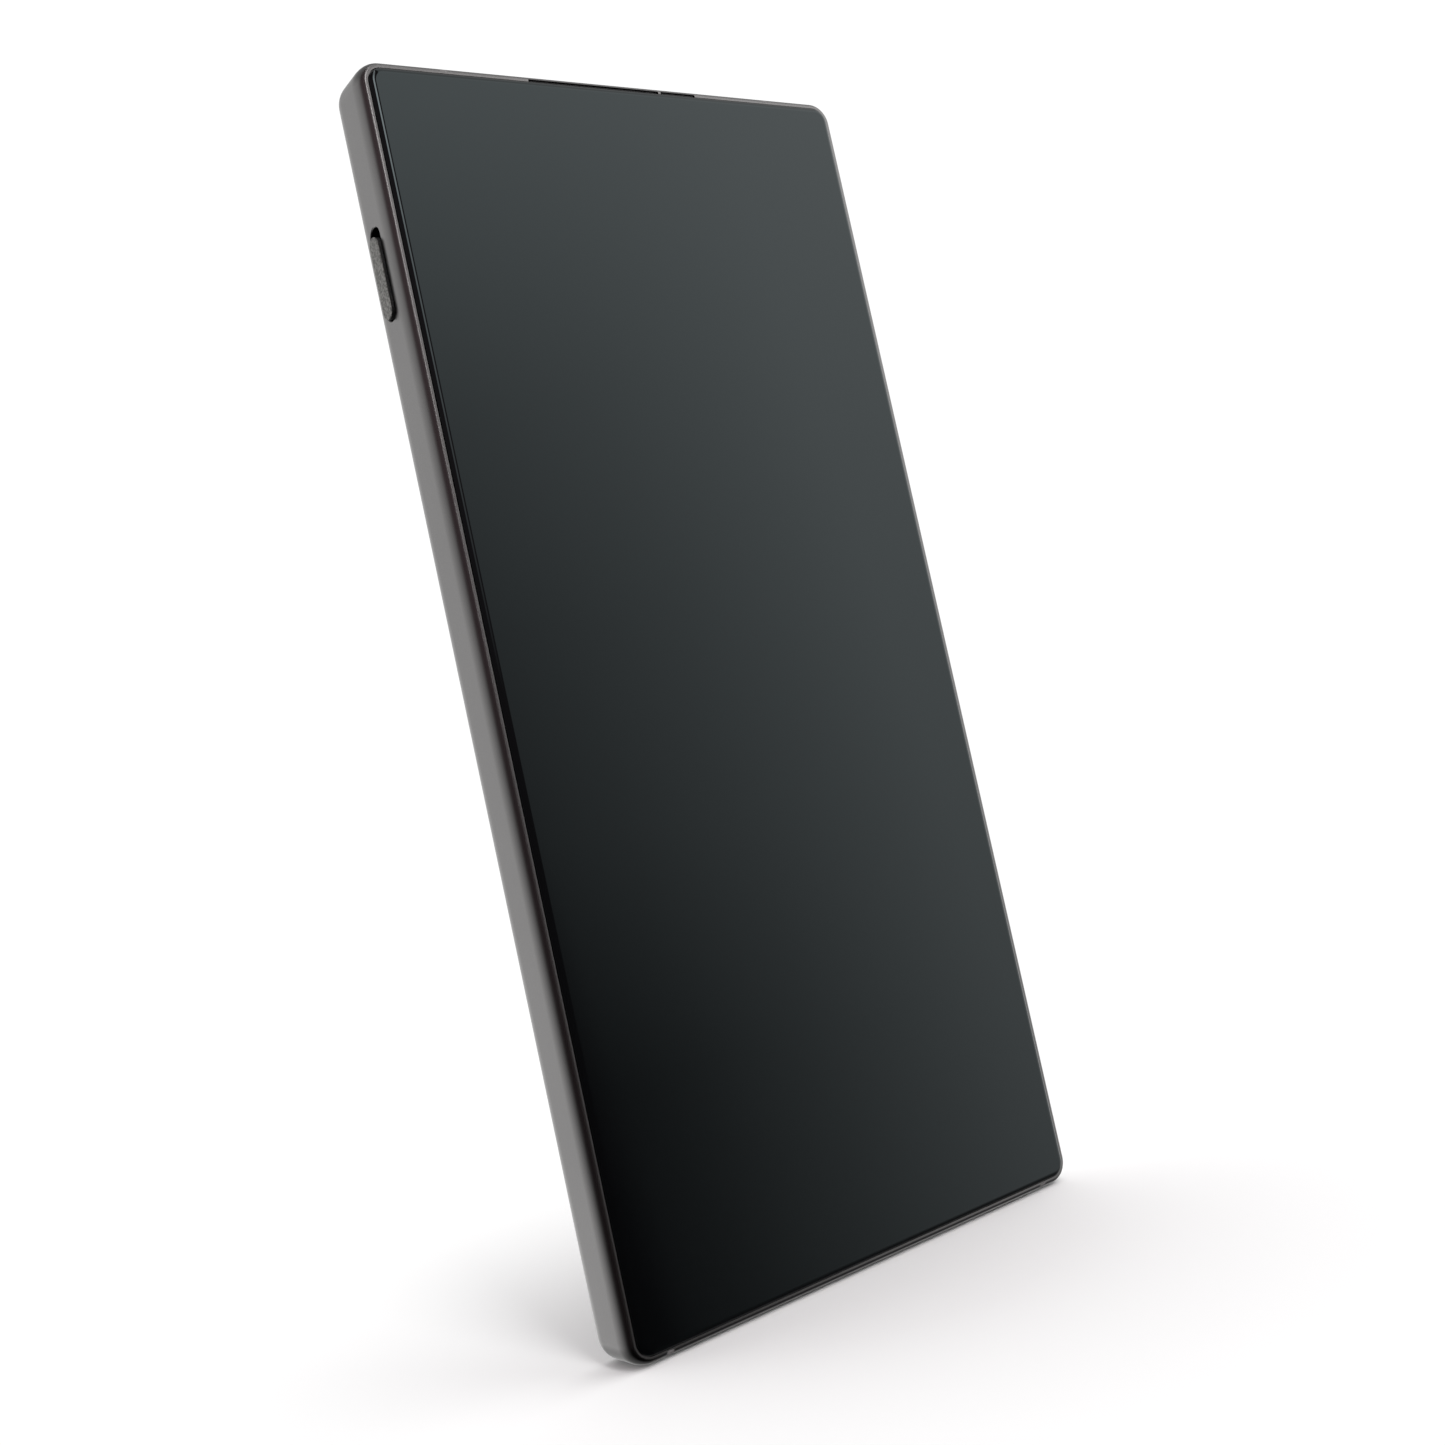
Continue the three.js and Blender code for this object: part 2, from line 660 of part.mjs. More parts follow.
// The housing stands in the bay and its bore guides the barrel that moves to focus.
function cameraModule({ name, x, body, glassRadius }) {
  const half = body / 2;
  const back = BACK_Y - BACK_GLASS - SEAM;
  const housing = block(x - half, x + half, BAY_FRONT, back, DECK_Z - half, DECK_Z + half);
  const floor = BAY_FRONT + 1;
  const bore = post(glassRadius - BORE_INSET, x, DECK_Z, floor, BACK_Y, ROUND_STEPS);
  return piece(`camera_module_${name}`, cut(housing, [bore]), blackPlastic);
}

function lensBarrel({ name, x, glassRadius }) {
  const radius = glassRadius - BARREL_INSET;
  const top = WINDOW_FOOT - BARREL_GAP;
  const foot = BAY_FRONT + 1.6;
  const profile = [
    [0, foot],
    [radius, foot],
    [radius, top - 0.2],
    [radius - 0.2, top],
    [radius * 0.72, top],
    [radius * 0.45, top - 0.9],
    [0, top - 0.7],
  ];
  return piece(`lens_barrel_${name}`, turned(profile, x, DECK_Z), blackPlastic);
}

function flashLens() {
  const disc = post(FLASH_RADIUS, FLASH_X, FLASH_Z, BACK_Y, DECK_FACE - SEAM, 20);
  return piece('flash_lens', disc, clearPlastic);
}

// ---------------------------------------------------------------- side switch and keys

const KEY_ROUND = 0.3;
const KEY_BEVEL = {
  bevelEnabled: true,
  bevelSize: KEY_ROUND,
  bevelOffset: -KEY_ROUND,
  bevelThickness: KEY_ROUND,
  bevelSegments: 2,
};
const KEY_OVERHANG = 0.8;
const FLANGE_REACH = 0.7;
const FLANGE_RADIUS = 0.5;
const TONGUE_HALF = 0.7;

// A key bar stands proud of the frame and a wider flange inside the wall keeps it in.
function keyBar(length, z, flangeLength, onLeft) {
  const outer = WIDTH / 2 + KEY_PROUD - KEY_ROUND;
  const inner = KEY_FLANGE_X + FLANGE_THICKNESS;
  const outline = uprightSlot(KEY_WIDTH, length, EDGE_Y, z);
  const flangeWidth = KEY_WIDTH + 2 * FLANGE_REACH;
  const flange = roundedRectangle(flangeWidth, flangeLength, FLANGE_RADIUS, EDGE_Y, z);
  if (onLeft) {
    return [
      alongX(outline, -outer, -inner, KEY_BEVEL),
      alongX(flange, -inner, -KEY_FLANGE_X),
    ];
  }
  return [
    alongX(outline, inner, outer, KEY_BEVEL),
    alongX(flange, KEY_FLANGE_X, inner),
  ];
}

// A box about the line along the edges, given by its half sizes across and along that line.
function edgeBox(left, right, halfWidth, z, halfLength) {
  return block(left, right, EDGE_Y - halfWidth, EDGE_Y + halfWidth, z - halfLength, z + halfLength);
}

function slideSwitchCap() {
  const parts = keyBar(SWITCH_LENGTH, SWITCH_MIDDLE, SWITCH_LENGTH + KEY_OVERHANG, true);
  const tongue = edgeBox(-KEY_FLANGE_X - 0.2, -KEY_FLANGE_X + 0.9, TONGUE_HALF, SWITCH_MIDDLE, 1);
  return piece('slide_switch_cap', join([...parts, tongue]), greyPlastic);
}

// The tongue of the cap runs in a track in the front of the switch's can.
function slideSwitchBody() {
  const left = -KEY_FLANGE_X + 0.4;
  const depth = 2.2;
  const middle = SWITCH_MIDDLE + SWITCH_TRAVEL / 2;
  const can = edgeBox(left, left + depth, 1.7, middle, 4.4);
  const track = edgeBox(left - OUTSIDE, left + 0.8, TONGUE_HALF + 0.2, middle, 1.9);
  return piece('slide_switch_body', cut(can, [track]), steel);
}

function powerKey() {
  const parts = keyBar(POWER_LENGTH, POWER_Z, POWER_LENGTH + KEY_OVERHANG, false);
  return piece('power_key', join(parts), anodised);
}

function volumeRocker() {
  const parts = keyBar(VOLUME_LENGTH, VOLUME_Z, 7, false);
  const back = KEY_FLANGE_X + FLANGE_THICKNESS;
  const feet = [-VOLUME_REACH, VOLUME_REACH].map((reach) => (
    edgeBox(KEY_FLANGE_X, back, TONGUE_HALF, VOLUME_Z + reach, 0.8)
  ));
  return piece('volume_rocker', join([...parts, ...feet]), anodised);
}

const FLEX = { width: 2.8, length: 44, radius: 0.6, z: 117.5 };

function sideKeyFlex() {
  const outline = roundedRectangle(FLEX.width, FLEX.length, FLEX.radius, EDGE_Y, FLEX.z);
  return piece('side_key_flex', alongX(outline, FLEX_X - 0.2, FLEX_X - SEAM), flexFilm);
}

function keyDomes() {
  const domes = [
    { name: 'power', z: POWER_Z },
    { name: 'volume_down', z: VOLUME_Z - VOLUME_REACH },
    { name: 'volume_up', z: VOLUME_Z + VOLUME_REACH },
  ];
  const profile = [
    new THREE.Vector2(0, 0),
    new THREE.Vector2(DOME_RADIUS, 0),
    new THREE.Vector2(DOME_RADIUS, 0.15),
    new THREE.Vector2(DOME_RADIUS * 0.6, DOME_HEIGHT),
    new THREE.Vector2(0, DOME_HEIGHT),
  ];
  return domes.map(({ name, z }) => {
    const dome = piece(`key_dome_${name}`, new THREE.LatheGeometry(profile, 16), steel);
    dome.rotation.z = -Math.PI / 2;
    dome.position.set(FLEX_X, EDGE_Y, z);
    return dome;
  });
}

// ---------------------------------------------------------------- card tray and bottom edge

const TRAY_FACE_BACK = 1.3;
const CARD = { left: TRAY_X - 6.2, right: TRAY_X + 2.8, bottom: 7.5, top: 20, depth: 0.35 };
const PIN_HOLE_RADIUS = 0.4;
const PIN_HOLE_X = TRAY_X + 6;

function simTray() {
  const outline = levelSlot(TRAY_FACE_LENGTH, TRAY_FACE_WIDTH, TRAY_X, EDGE_Y);
  const face = alongZ(outline, SEAM, TRAY_FACE_BACK);
  const half = TRAY_BODY_WIDTH / 2;
  const front = EDGE_Y - TRAY_THICKNESS / 2;
  const back = EDGE_Y + TRAY_THICKNESS / 2;
  const carrier = block(TRAY_X - half, TRAY_X + half, front, back, TRAY_FACE_BACK - 0.2, TRAY_END);
  const cardPockets = [front - OUTSIDE, back - CARD.depth].map((from) => (
    block(CARD.left, CARD.right, from, from + OUTSIDE + CARD.depth, CARD.bottom, CARD.top)
  ));
  const pinHole = alongZ(
    circle(PIN_HOLE_RADIUS, PIN_HOLE_X, EDGE_Y), -OUTSIDE, TRAY_FACE_BACK - 0.3,
  );
  return piece('sim_tray', cut(join([face, carrier]), [...cardPockets, pinHole]), anodised);
}

// A box about the line along the ends, given by its middle and half sizes.
function endBox(x, halfLength, halfWidth, bottom, top) {
  return block(x - halfLength, x + halfLength, EDGE_Y - halfWidth, EDGE_Y + halfWidth, bottom, top);
}

function simReader() {
  const cage = endBox(TRAY_X, 7.7, 1.3, WALL + 0.3, TRAY_END + 1.4);
  const slot = endBox(TRAY_X, 7.2, 0.8, 0, TRAY_END + 0.4);
  return piece('sim_reader', cut(cage, [slot]), steel);
}

const USB_FACE = 0.2;
const USB_FLOOR = 0.6;

function usbShell() {
  const outside = alongZ(levelSlot(USB_LENGTH, USB_WIDTH, 0, EDGE_Y), USB_FACE, USB_DEEP);
  const inside = levelSlot(USB_LENGTH - 2 * USB_WALL, USB_WIDTH - 2 * USB_WALL, 0, EDGE_Y);
  const bore = alongZ(inside, -OUTSIDE, USB_DEEP - USB_FLOOR);
  return piece('usb_shell', cut(outside, [bore]), steel);
}

function usbTongue() {
  const tongue = endBox(0, 3.35, 0.35, 1.2, USB_DEEP - USB_FLOOR - SEAM);
  return piece('usb_tongue', tongue, blackPlastic);
}

const SPEAKER_MIDDLE = SPEAKER_FIRST_X + SPEAKER_HOLE_PITCH * (SPEAKER_HOLES - 1) / 2;
const SPEAKER_BOX = { left: 10.5, right: 29.8, bottom: 3, top: 22.5 };

function loudspeaker() {
  const { left, right, bottom, top } = SPEAKER_BOX;
  const box = block(left, right, BAY_FRONT, BRACKET_FRONT - SEAM, bottom, top);
  const mouth = endBox(20.25, 7.75, 1, bottom - OUTSIDE, bottom + 1.5);
  return piece('loudspeaker', cut(box, [mouth]), blackPlastic);
}

function loudspeakerMesh() {
  const halfLength = SPEAKER_HOLE_PITCH * SPEAKER_HOLES / 2;
  const strip = endBox(SPEAKER_MIDDLE, halfLength, 1.2, WALL + SEAM, WALL + SEAM + 0.2);
  return piece('loudspeaker_mesh', strip, wovenMesh);
}

const MICROPHONE_HALF = 1.6;

function bottomMicrophone() {
  const left = BOTTOM_MICROPHONE_X - MICROPHONE_HALF;
  const right = BOTTOM_MICROPHONE_X + MICROPHONE_HALF;
  const can = block(left, right, BOARD_BACK + SEAM, BOARD_BACK + 1, 3.6, 6.4);
  return piece('bottom_microphone', can, steel);
}

function topMicrophone() {
  const can = endBox(TOP_MICROPHONE_X, MICROPHONE_HALF, 0.5, 158.4, 161.2);
  return piece('top_microphone', can, steel);
}

// ---------------------------------------------------------------- electronics

function polygon(corners) {
  return new THREE.Shape(corners.map(([x, y]) => new THREE.Vector2(x, y)));
}

function mainBoard() {
  const outline = polygon([
    [-32.5, 115], [32, 115], [32, 150], [28.2, 150], [28.2, 132.5], [-32.5, 132.5],
  ]);
  return piece('main_board', alongY(outline, BOARD_FRONT, BOARD_BACK), circuitBoard);
}

const SHIELD = { left: -30, right: 26, bottom: 119.5, top: 131.5, wall: 0.3 };

// A drawn cover over the chips, open at its front or its back, where the board is.
function shieldCan(name, front, back, openFront) {
  const { left, right, bottom, top, wall } = SHIELD;
  const can = block(left, right, front, back, bottom, top);
  const hollowFront = openFront ? front - OUTSIDE : front + wall;
  const hollowBack = openFront ? back - wall : back + OUTSIDE;
  const hollow = block(
    left + wall, right - wall, hollowFront, hollowBack, bottom + wall, top - wall,
  );
  return piece(name, cut(can, [hollow]), steel);
}

function shieldCans() {
  return [
    shieldCan('shield_can_front', BAY_FRONT, BOARD_FRONT - SEAM, false),
    shieldCan('shield_can_rear', BOARD_BACK + SEAM, BRACKET_FRONT - 0.2, true),
  ];
}

function batteryConnector() {
  const plug = block(10, 18, BOARD_BACK + SEAM, BOARD_BACK + 1.1, 115.6, 118.4);
  return piece('battery_connector', plug, blackPlastic);
}

const POUCH_ROUND = 0.8;
const POUCH_RADIUS = 1.5;

function battery() {
  const { width, bottom, top, back } = BATTERY;
  const bevel = {
    bevelEnabled: true,
    bevelSize: POUCH_ROUND,
    bevelOffset: -POUCH_ROUND,
    bevelThickness: POUCH_ROUND,
    bevelSegments: 2,
  };
  const outline = roundedRectangle(width, top - bottom, POUCH_RADIUS, 0, (top + bottom) / 2);
  const pouch = alongY(outline, BAY_FRONT + POUCH_ROUND, back - POUCH_ROUND, bevel);
  return piece('battery', pouch, foil);
}

function subBoard() {
  const outline = polygon([
    [-11.5, 3], [-5, 3], [-5, 8], [5, 8], [5, 3], [9.8, 3], [9.8, 24], [-11.5, 24],
  ]);
  return piece('sub_board', alongY(outline, BOARD_FRONT, BOARD_BACK), circuitBoard);
}

// A ribbon that climbs from the lower board, crosses the back of the battery and drops to the
// upper board.
function interconnectFlex() {
  const thickness = 0.12;
  const halfWidth = 4;
  const low = BOARD_BACK + 0.1;
  const high = BATTERY.back + 0.08;
  const path = [[low, 14], [low, 23], [high, 26.3], [high, 110], [low, 113.6], [low, 118]];
  const back = path.map(([y, z]) => [y + thickness, z]).reverse();
  const ribbon = alongX(polygon([...path, ...back]), -halfWidth, halfWidth);
  return piece('interconnect_flex', ribbon, flexFilm);
}

function vibrationMotor() {
  return piece('vibration_motor', block(-6, 4, BAY_FRONT, BOARD_FRONT - 0.1, 12, 22), steel);
}

// ---------------------------------------------------------------- assembly

const phone = new THREE.Group();
phone.add(
  sideFrame(),
  midPlate(),
  ...antennaInserts(),
  coverGlass(),
  displayPanel(),
  displayAdhesive(),
  frontCamera(),
  earpieceMesh(),
  sensorLightGuide(),
  earpieceSpeaker(),
  fingerprintSensor(),
  vapourChamber(),
  backCover(),
  cameraDeck(),
  ...CAMERAS.map(lensRing),
  ...CAMERAS.map(lensWindow),
  ...CAMERAS.map(cameraModule),
  ...CAMERAS.map(lensBarrel),
  flashLens(),
  slideSwitchCap(),
  slideSwitchBody(),
  powerKey(),
  volumeRocker(),
  sideKeyFlex(),
  ...keyDomes(),
  simTray(),
  simReader(),
  usbShell(),
  usbTongue(),
  loudspeaker(),
  loudspeakerMesh(),
  bottomMicrophone(),
  topMicrophone(),
  mainBoard(),
  ...shieldCans(),
  batteryConnector(),
  battery(),
  subBoard(),
  interconnectFlex(),
  vibrationMotor(),
  topBracket(),
  bottomBracket(),
  ...bracketScrews(),
);

export default phone;
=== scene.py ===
"""Looks of a slab smartphone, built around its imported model."""

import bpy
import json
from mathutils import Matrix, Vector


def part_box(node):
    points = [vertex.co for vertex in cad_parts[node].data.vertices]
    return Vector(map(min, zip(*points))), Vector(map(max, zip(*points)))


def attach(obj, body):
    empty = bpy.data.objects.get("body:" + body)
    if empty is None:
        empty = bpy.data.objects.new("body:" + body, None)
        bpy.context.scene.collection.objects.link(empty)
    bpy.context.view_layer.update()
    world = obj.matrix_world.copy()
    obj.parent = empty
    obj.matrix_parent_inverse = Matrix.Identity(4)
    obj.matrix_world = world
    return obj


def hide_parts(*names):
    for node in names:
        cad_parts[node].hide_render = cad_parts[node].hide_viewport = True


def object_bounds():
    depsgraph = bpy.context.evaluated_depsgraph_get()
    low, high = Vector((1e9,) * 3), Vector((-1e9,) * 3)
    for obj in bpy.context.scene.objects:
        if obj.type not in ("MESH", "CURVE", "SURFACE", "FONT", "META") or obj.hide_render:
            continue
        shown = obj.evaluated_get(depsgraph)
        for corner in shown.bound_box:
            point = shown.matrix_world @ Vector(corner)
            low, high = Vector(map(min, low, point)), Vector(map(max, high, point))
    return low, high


bl_info = {
    "name": "Slab Smartphone",
    "version": (1, 0, 0),
    "blender": (4, 5, 0),
    "location": "View3D > Sidebar > Phone",
    "description": "Builds the detailed outer pieces, finishes and stage of a slab smartphone",
    "category": "Object",
}

import json
import math

import bmesh
import bpy
from bpy.props import FloatProperty, FloatVectorProperty, IntProperty, PointerProperty
from mathutils import Matrix, Vector

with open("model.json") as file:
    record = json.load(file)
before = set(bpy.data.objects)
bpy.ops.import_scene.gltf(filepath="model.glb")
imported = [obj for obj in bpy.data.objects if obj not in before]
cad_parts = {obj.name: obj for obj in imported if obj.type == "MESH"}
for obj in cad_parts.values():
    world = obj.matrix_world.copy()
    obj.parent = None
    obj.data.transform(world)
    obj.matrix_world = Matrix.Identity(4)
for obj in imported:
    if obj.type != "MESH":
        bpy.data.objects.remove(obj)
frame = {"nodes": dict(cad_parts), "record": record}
CAD_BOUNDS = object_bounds()

# ---------------------------------------------------------------- places taken from the frame

MM = 0.001


def node_box(name):
    """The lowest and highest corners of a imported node, in millimetres."""
    low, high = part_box(name)
    return low / MM, high / MM


def mm(metres):
    """A length in millimetres."""
    return metres / MM


FRAME_LOW, FRAME_HIGH = node_box("side_frame")
GLASS_LOW, GLASS_HIGH = node_box("cover_glass")
COVER_LOW, COVER_HIGH = node_box("back_cover")
DECK_LOW, DECK_HIGH = node_box("camera_deck")

HALF_WIDTH = FRAME_HIGH.x
WIDTH = 2 * HALF_WIDTH
HEIGHT = FRAME_HIGH.z
MID_Z = HEIGHT / 2
FRAME_FRONT = FRAME_LOW.y
FRAME_BACK = FRAME_HIGH.y
FRONT_Y = GLASS_LOW.y
BACK_Y = COVER_HIGH.y

CAMERAS = {"main": "focus_main", "wide": "focus_wide", "tele": "focus_tele"}
REACH = 1.0        # how far a cutting tool stands outside what it cuts
MERGE = 0.003      # points closer than this are one point
FLAT = 1e-4        # how far a point may lie from a level that it is said to be on
FULL_ROUND = 0.9999  # share of half the width that a fully round end takes
SMOOTH_ANGLE = math.radians(32)


def facing(across, up):
    """A turn that lays a new flat shape's own X along one direction and its Y along another."""
    across, up = Vector(across), Vector(up)
    return Matrix((across, up, across.cross(up))).transposed().to_4x4()


FRONT = facing((1, 0, 0), (0, 0, 1))
BACK = facing((-1, 0, 0), (0, 0, 1))
LEFT = facing((0, -1, 0), (0, 0, 1))
RIGHT = facing((0, 1, 0), (0, 0, 1))
TOP = facing((1, 0, 0), (0, 1, 0))
BOTTOM = facing((1, 0, 0), (0, -1, 0))


# ---------------------------------------------------------------- sizes, finishes and stage


def length(name, description, default, low=0.0):
    """A length in metres, given in millimetres."""
    return FloatProperty(
        name=name, description=description, default=default * MM, min=low * MM,
        unit="LENGTH", subtype="DISTANCE", precision=5,
    )


def colour(name, description, default):
    """A colour setting."""
    return FloatVectorProperty(
        name=name, description=description, default=default, size=3,
        min=0.0, max=1.0, subtype="COLOR",
    )


def factor(name, description, default, high=1.0):
    """A plain number setting from 0 upwards."""
    return FloatProperty(
        name=name, description=description, default=default, min=0.0, max=high,
        subtype="FACTOR" if high == 1.0 else "NONE",
    )


def angle(name, description, degrees):
    """An angle setting, with its default in degrees."""
    return FloatProperty(
        name=name, description=description, default=math.radians(degrees),
        unit="ROTATION", subtype="ANGLE",
    )


class PhoneSizes(bpy.types.PropertyGroup):
    """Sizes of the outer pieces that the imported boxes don't give."""

    corner_radius: length("Corner radius", "Radius of the frame's four corners", 3.3)
    edge_across: length("Edge rounding across", "Width of the frame's edge rounding", 1.0)
    front_deep: length("Front rounding deep", "Depth of the rounding beside the screen", 2.4)
    back_deep: length("Back rounding deep", "Depth of the rounding beside the back cover", 2.1)
    lip_width: length("Lip width", "Frame seen beside the covers", 1.2)
    wall: length("Wall", "Thickness of the frame at its middle", 2.2)
    ledge_depth: length("Ledge depth", "How deep the covers' ledges lie under the faces", 0.9)
    glass_across: length("Glass curve across", "Width of the front glass's curved edge", 0.8)
    glass_deep: length("Glass curve deep", "Depth of the front glass's curved edge", 0.5)
    glass_arris: length("Glass arris", "Ground edge at the back of the front glass", 0.04)
    cover_edge: length("Cover edge", "Rounding of the back cover's edges", 0.2)
    mouth_bevel: length("Mouth bevel", "Bevel round slots and holes", 0.12)
    key_width: length("Key width", "Width of the side keys and the slide switch", 2.5)
    key_gap: length("Key gap", "Gap between a key and its slot", 0.15)
    key_round: length("Key rounding", "Rounding of a key's outer edge", 0.3)
    cap_round: length("Cap rounding", "Rounding of the slide switch's outer edge", 0.1)
    cap_top: length("Cap top", "Depth of the gritty top of the slide switch", 0.12)
    deck_round: length("Deck rounding", "Rounding of the camera deck's outer edge", 0.7)
    speaker_hole: length("Speaker hole", "Radius of a loudspeaker hole", 0.75)
    microphone_hole: length("Microphone hole", "Radius of a microphone hole", 0.45)
    slit_lip: length("Slit lip", "Frame left above the earpiece slit", 0.87)
    render_steps: IntProperty(
        name="Corner steps", description="Facets in each rounded corner", default=12, min=4, max=32,
    )


class PhoneFinishes(bpy.types.PropertyGroup):
    """Colours and gloss of the outer pieces."""

    metal: colour("Anodised metal", "Frame, deck, keys and card tray", (0.174, 0.17, 0.169))
    metal_roughness: factor("Metal roughness", "Satin of the anodised metal", 0.3)
    screen: colour("Screen glass", "Black behind the front glass", (0.0012, 0.0014, 0.0016))
    screen_tint: colour(
        "Screen reflection", "Tint of the front glass's reflection", (0.74, 0.88, 0.91),
    )
    screen_roughness: factor("Screen roughness", "Blur of the front glass's reflection", 0.03)
    back_glass: colour("Back glass", "Frosted back cover", (0.028, 0.028, 0.031))
    ring: colour("Lens ring", "Turned ring round each camera", (0.25, 0.25, 0.26))
    switch: colour("Slide switch", "Gritty cap of the slide switch", (0.155, 0.155, 0.146))


class PhoneStage(bpy.types.PropertyGroup):
    """Camera, floor and light."""

    azimuth: angle("Azimuth", "Camera's turn round the phone from straight in front", -35.2)
    elevation: angle("Elevation", "Camera's height angle over the aim", -2.96)
    roll: angle("Roll", "Camera's turn about its own view", 12.35)
    distance: length("Distance", "From the camera to its aim", 213.4)
    aim: FloatVectorProperty(
        name="Aim", description="Point on the screen that the camera looks at",
        default=(-0.00558, FRONT_Y * MM, 0.07447), size=3, unit="LENGTH", subtype="TRANSLATION",
    )
    lens: FloatProperty(
        name="Lens", description="Focal length on a 36 mm sensor", default=40.2, min=10, max=200,
        unit="CAMERA",
    )
    floor: colour("Floor", "Pale floor", (0.88, 0.88, 0.88))
    backdrop_light: factor("Backdrop light", "Brightness of the white backdrop", 1.25, high=5.0)


def sizes():
    """The size settings, in metres."""
    return bpy.context.scene.phone_sizes


def finishes():
    """The colour and finish settings."""
    return bpy.context.scene.phone_finishes


# ---------------------------------------------------------------- shapes, in millimetres


def rounded_outline(shape, turn, centre, width, height, radius, steps):
    """Adds one flat rounded rectangle and returns its face."""
    known = set(shape.faces)
    place = Matrix.Translation(centre) @ turn @ Matrix.Diagonal((width, height, 1, 1))
    made = bmesh.ops.create_grid(shape, x_segments=1, y_segments=1, size=0.5, matrix=place)
    limit = FULL_ROUND * min(width, height) / 2
    bmesh.ops.bevel(
        shape, geom=made["verts"], offset=min(radius, limit), segments=steps, profile=0.5,
        affect="VERTICES", material=-1,
    )
    return next(face for face in shape.faces if face not in known)


def extrude(shape, face, along):
    """Pushes a face along a vector and returns the face it ends in."""
    made = bmesh.ops.extrude_face_region(shape, geom=[face])["geom"]
    moved = [item for item in made if isinstance(item, bmesh.types.BMVert)]
    bmesh.ops.translate(shape, verts=moved, vec=along)
    return next(item for item in made if isinstance(item, bmesh.types.BMFace))


def closed(shape):
    """Merges the shape's double points and turns its faces outwards."""
    bmesh.ops.remove_doubles(shape, verts=shape.verts, dist=MERGE)
    bmesh.ops.dissolve_degenerate(shape, dist=MERGE, edges=shape.edges)
    bmesh.ops.recalc_face_normals(shape, faces=shape.faces)
    return shape


def prism(turn, centre, width, height, radius, depth, steps=8):
    """A rounded bar whose foot is at the centre, running along the turn's outward direction."""
    shape = bmesh.new()
    face = rounded_outline(shape, turn, centre, width, height, radius, steps)
    extrude(shape, face, turn.col[2].to_3d() * depth)
    return closed(shape)


def block(low, high):
    """A plain box between two corners."""
    low, high = Vector(low), Vector(high)
    shape = bmesh.new()
    size = high - low
    place = Matrix.Translation((low + high) / 2) @ Matrix.Diagonal((*size, 1))
    bmesh.ops.create_cube(shape, size=1.0, matrix=place)
    return shape


def flared_tool(turn, mouth, width, height, radius, depth, flare, steps=8):
    """A cutting tool that leaves a bevelled mouth on the surface that it goes into."""
    shape = bmesh.new()
    outward = turn.col[2].to_3d()
    levels = ((-depth, 0.0), (-flare, 0.0), (REACH, flare + REACH))
    outlines = [
        rounded_outline(
            shape, turn, Vector(mouth) + outward * offset, width + 2 * grow, height + 2 * grow,
            radius + grow, steps,
        )
        for offset, grow in levels
    ]
    rims = [list(face.edges) for face in outlines]
    bmesh.ops.delete(shape, geom=[outlines[1]], context="FACES_ONLY")
    for lower, upper in zip(rims, rims[1:]):
        bmesh.ops.bridge_loops(shape, edges=lower + upper)
    return closed(shape)


def round_rim(shape, level, across, deep, steps):
    """Rounds the rim at one depth with a quarter of an ellipse.

    The shape is bevelled while it is squeezed to a round section, and stretched again after.
    """
    squeeze = across / deep
    rim = [
        edge for edge in shape.edges if all(abs(vert.co.y - level) < FLAT for vert in edge.verts)
    ]
    bmesh.ops.scale(shape, vec=(1, squeeze, 1), verts=shape.verts)
    bmesh.ops.bevel(
        shape, geom=rim, offset=across, segments=steps, profile=0.5, affect="EDGES", material=-1,
    )
    bmesh.ops.scale(shape, vec=(1, 1 / squeeze, 1), verts=shape.verts)


def slab(width, height, radius, x, z, front, back, steps):
    """A rounded rectangle through part of the depth."""
    return prism(FRONT, (x, back, z), width, height, radius, back - front, steps)


def turned(profile, x, z, steps):
    """A body turned about an axis that runs through the phone's depth."""
    shape = bmesh.new()
    verts = [shape.verts.new((x + radius, y, z)) for radius, y in profile]
    edges = [shape.edges.new(pair) for pair in zip(verts, verts[1:])]
    bmesh.ops.spin(
        shape, geom=verts + edges, cent=(x, 0, z), axis=(0, 1, 0), angle=2 * math.pi,
        steps=steps, use_merge=True,
    )
    return closed(shape)


def soften(shape, width, steps=2, sharper_than=35):
    """Bevels every edge that turns by more than an angle."""
    sharp = [
        edge for edge in shape.edges
        if edge.is_manifold and edge.calc_face_angle(0) > math.radians(sharper_than)
    ]
    bmesh.ops.bevel(
        shape, geom=sharp, offset=width, segments=steps, profile=0.5, affect="EDGES", material=-1,
    )
    return shape


def scratch_object(shape):
    """An object that holds a shape while modifiers work on it."""
    mesh = bpy.data.meshes.new("scratch")
    shape.to_mesh(mesh)
    shape.free()
    made = bpy.data.objects.new("scratch", mesh)
    bpy.context.scene.collection.objects.link(made)
    return made


def combine(shape, tools, operation):
    """Cuts a closed shape with closed tools, joins them to it, or keeps what they share."""
    body = scratch_object(shape)
    others = [scratch_object(tool) for tool in tools]
    for other in others:
        step = body.modifiers.new("Combine", "BOOLEAN")
        step.operation = operation
        step.solver = "EXACT"
        step.object = other
    graph = bpy.context.evaluated_depsgraph_get()
    mesh = bpy.data.meshes.new_from_object(body.evaluated_get(graph))
    result = bmesh.new()
    result.from_mesh(mesh)
    for made in (body, *others):
        bpy.data.meshes.remove(made.data)
    bpy.data.meshes.remove(mesh)
    bmesh.ops.remove_doubles(result, verts=result.verts, dist=MERGE)
    return result


def cut(shape, *tools):
    """Cuts closed tools out of a closed shape."""
    return combine(shape, tools, "DIFFERENCE")


def join(shape, *others):
    """Joins closed shapes into one."""
    return combine(shape, others, "UNION")


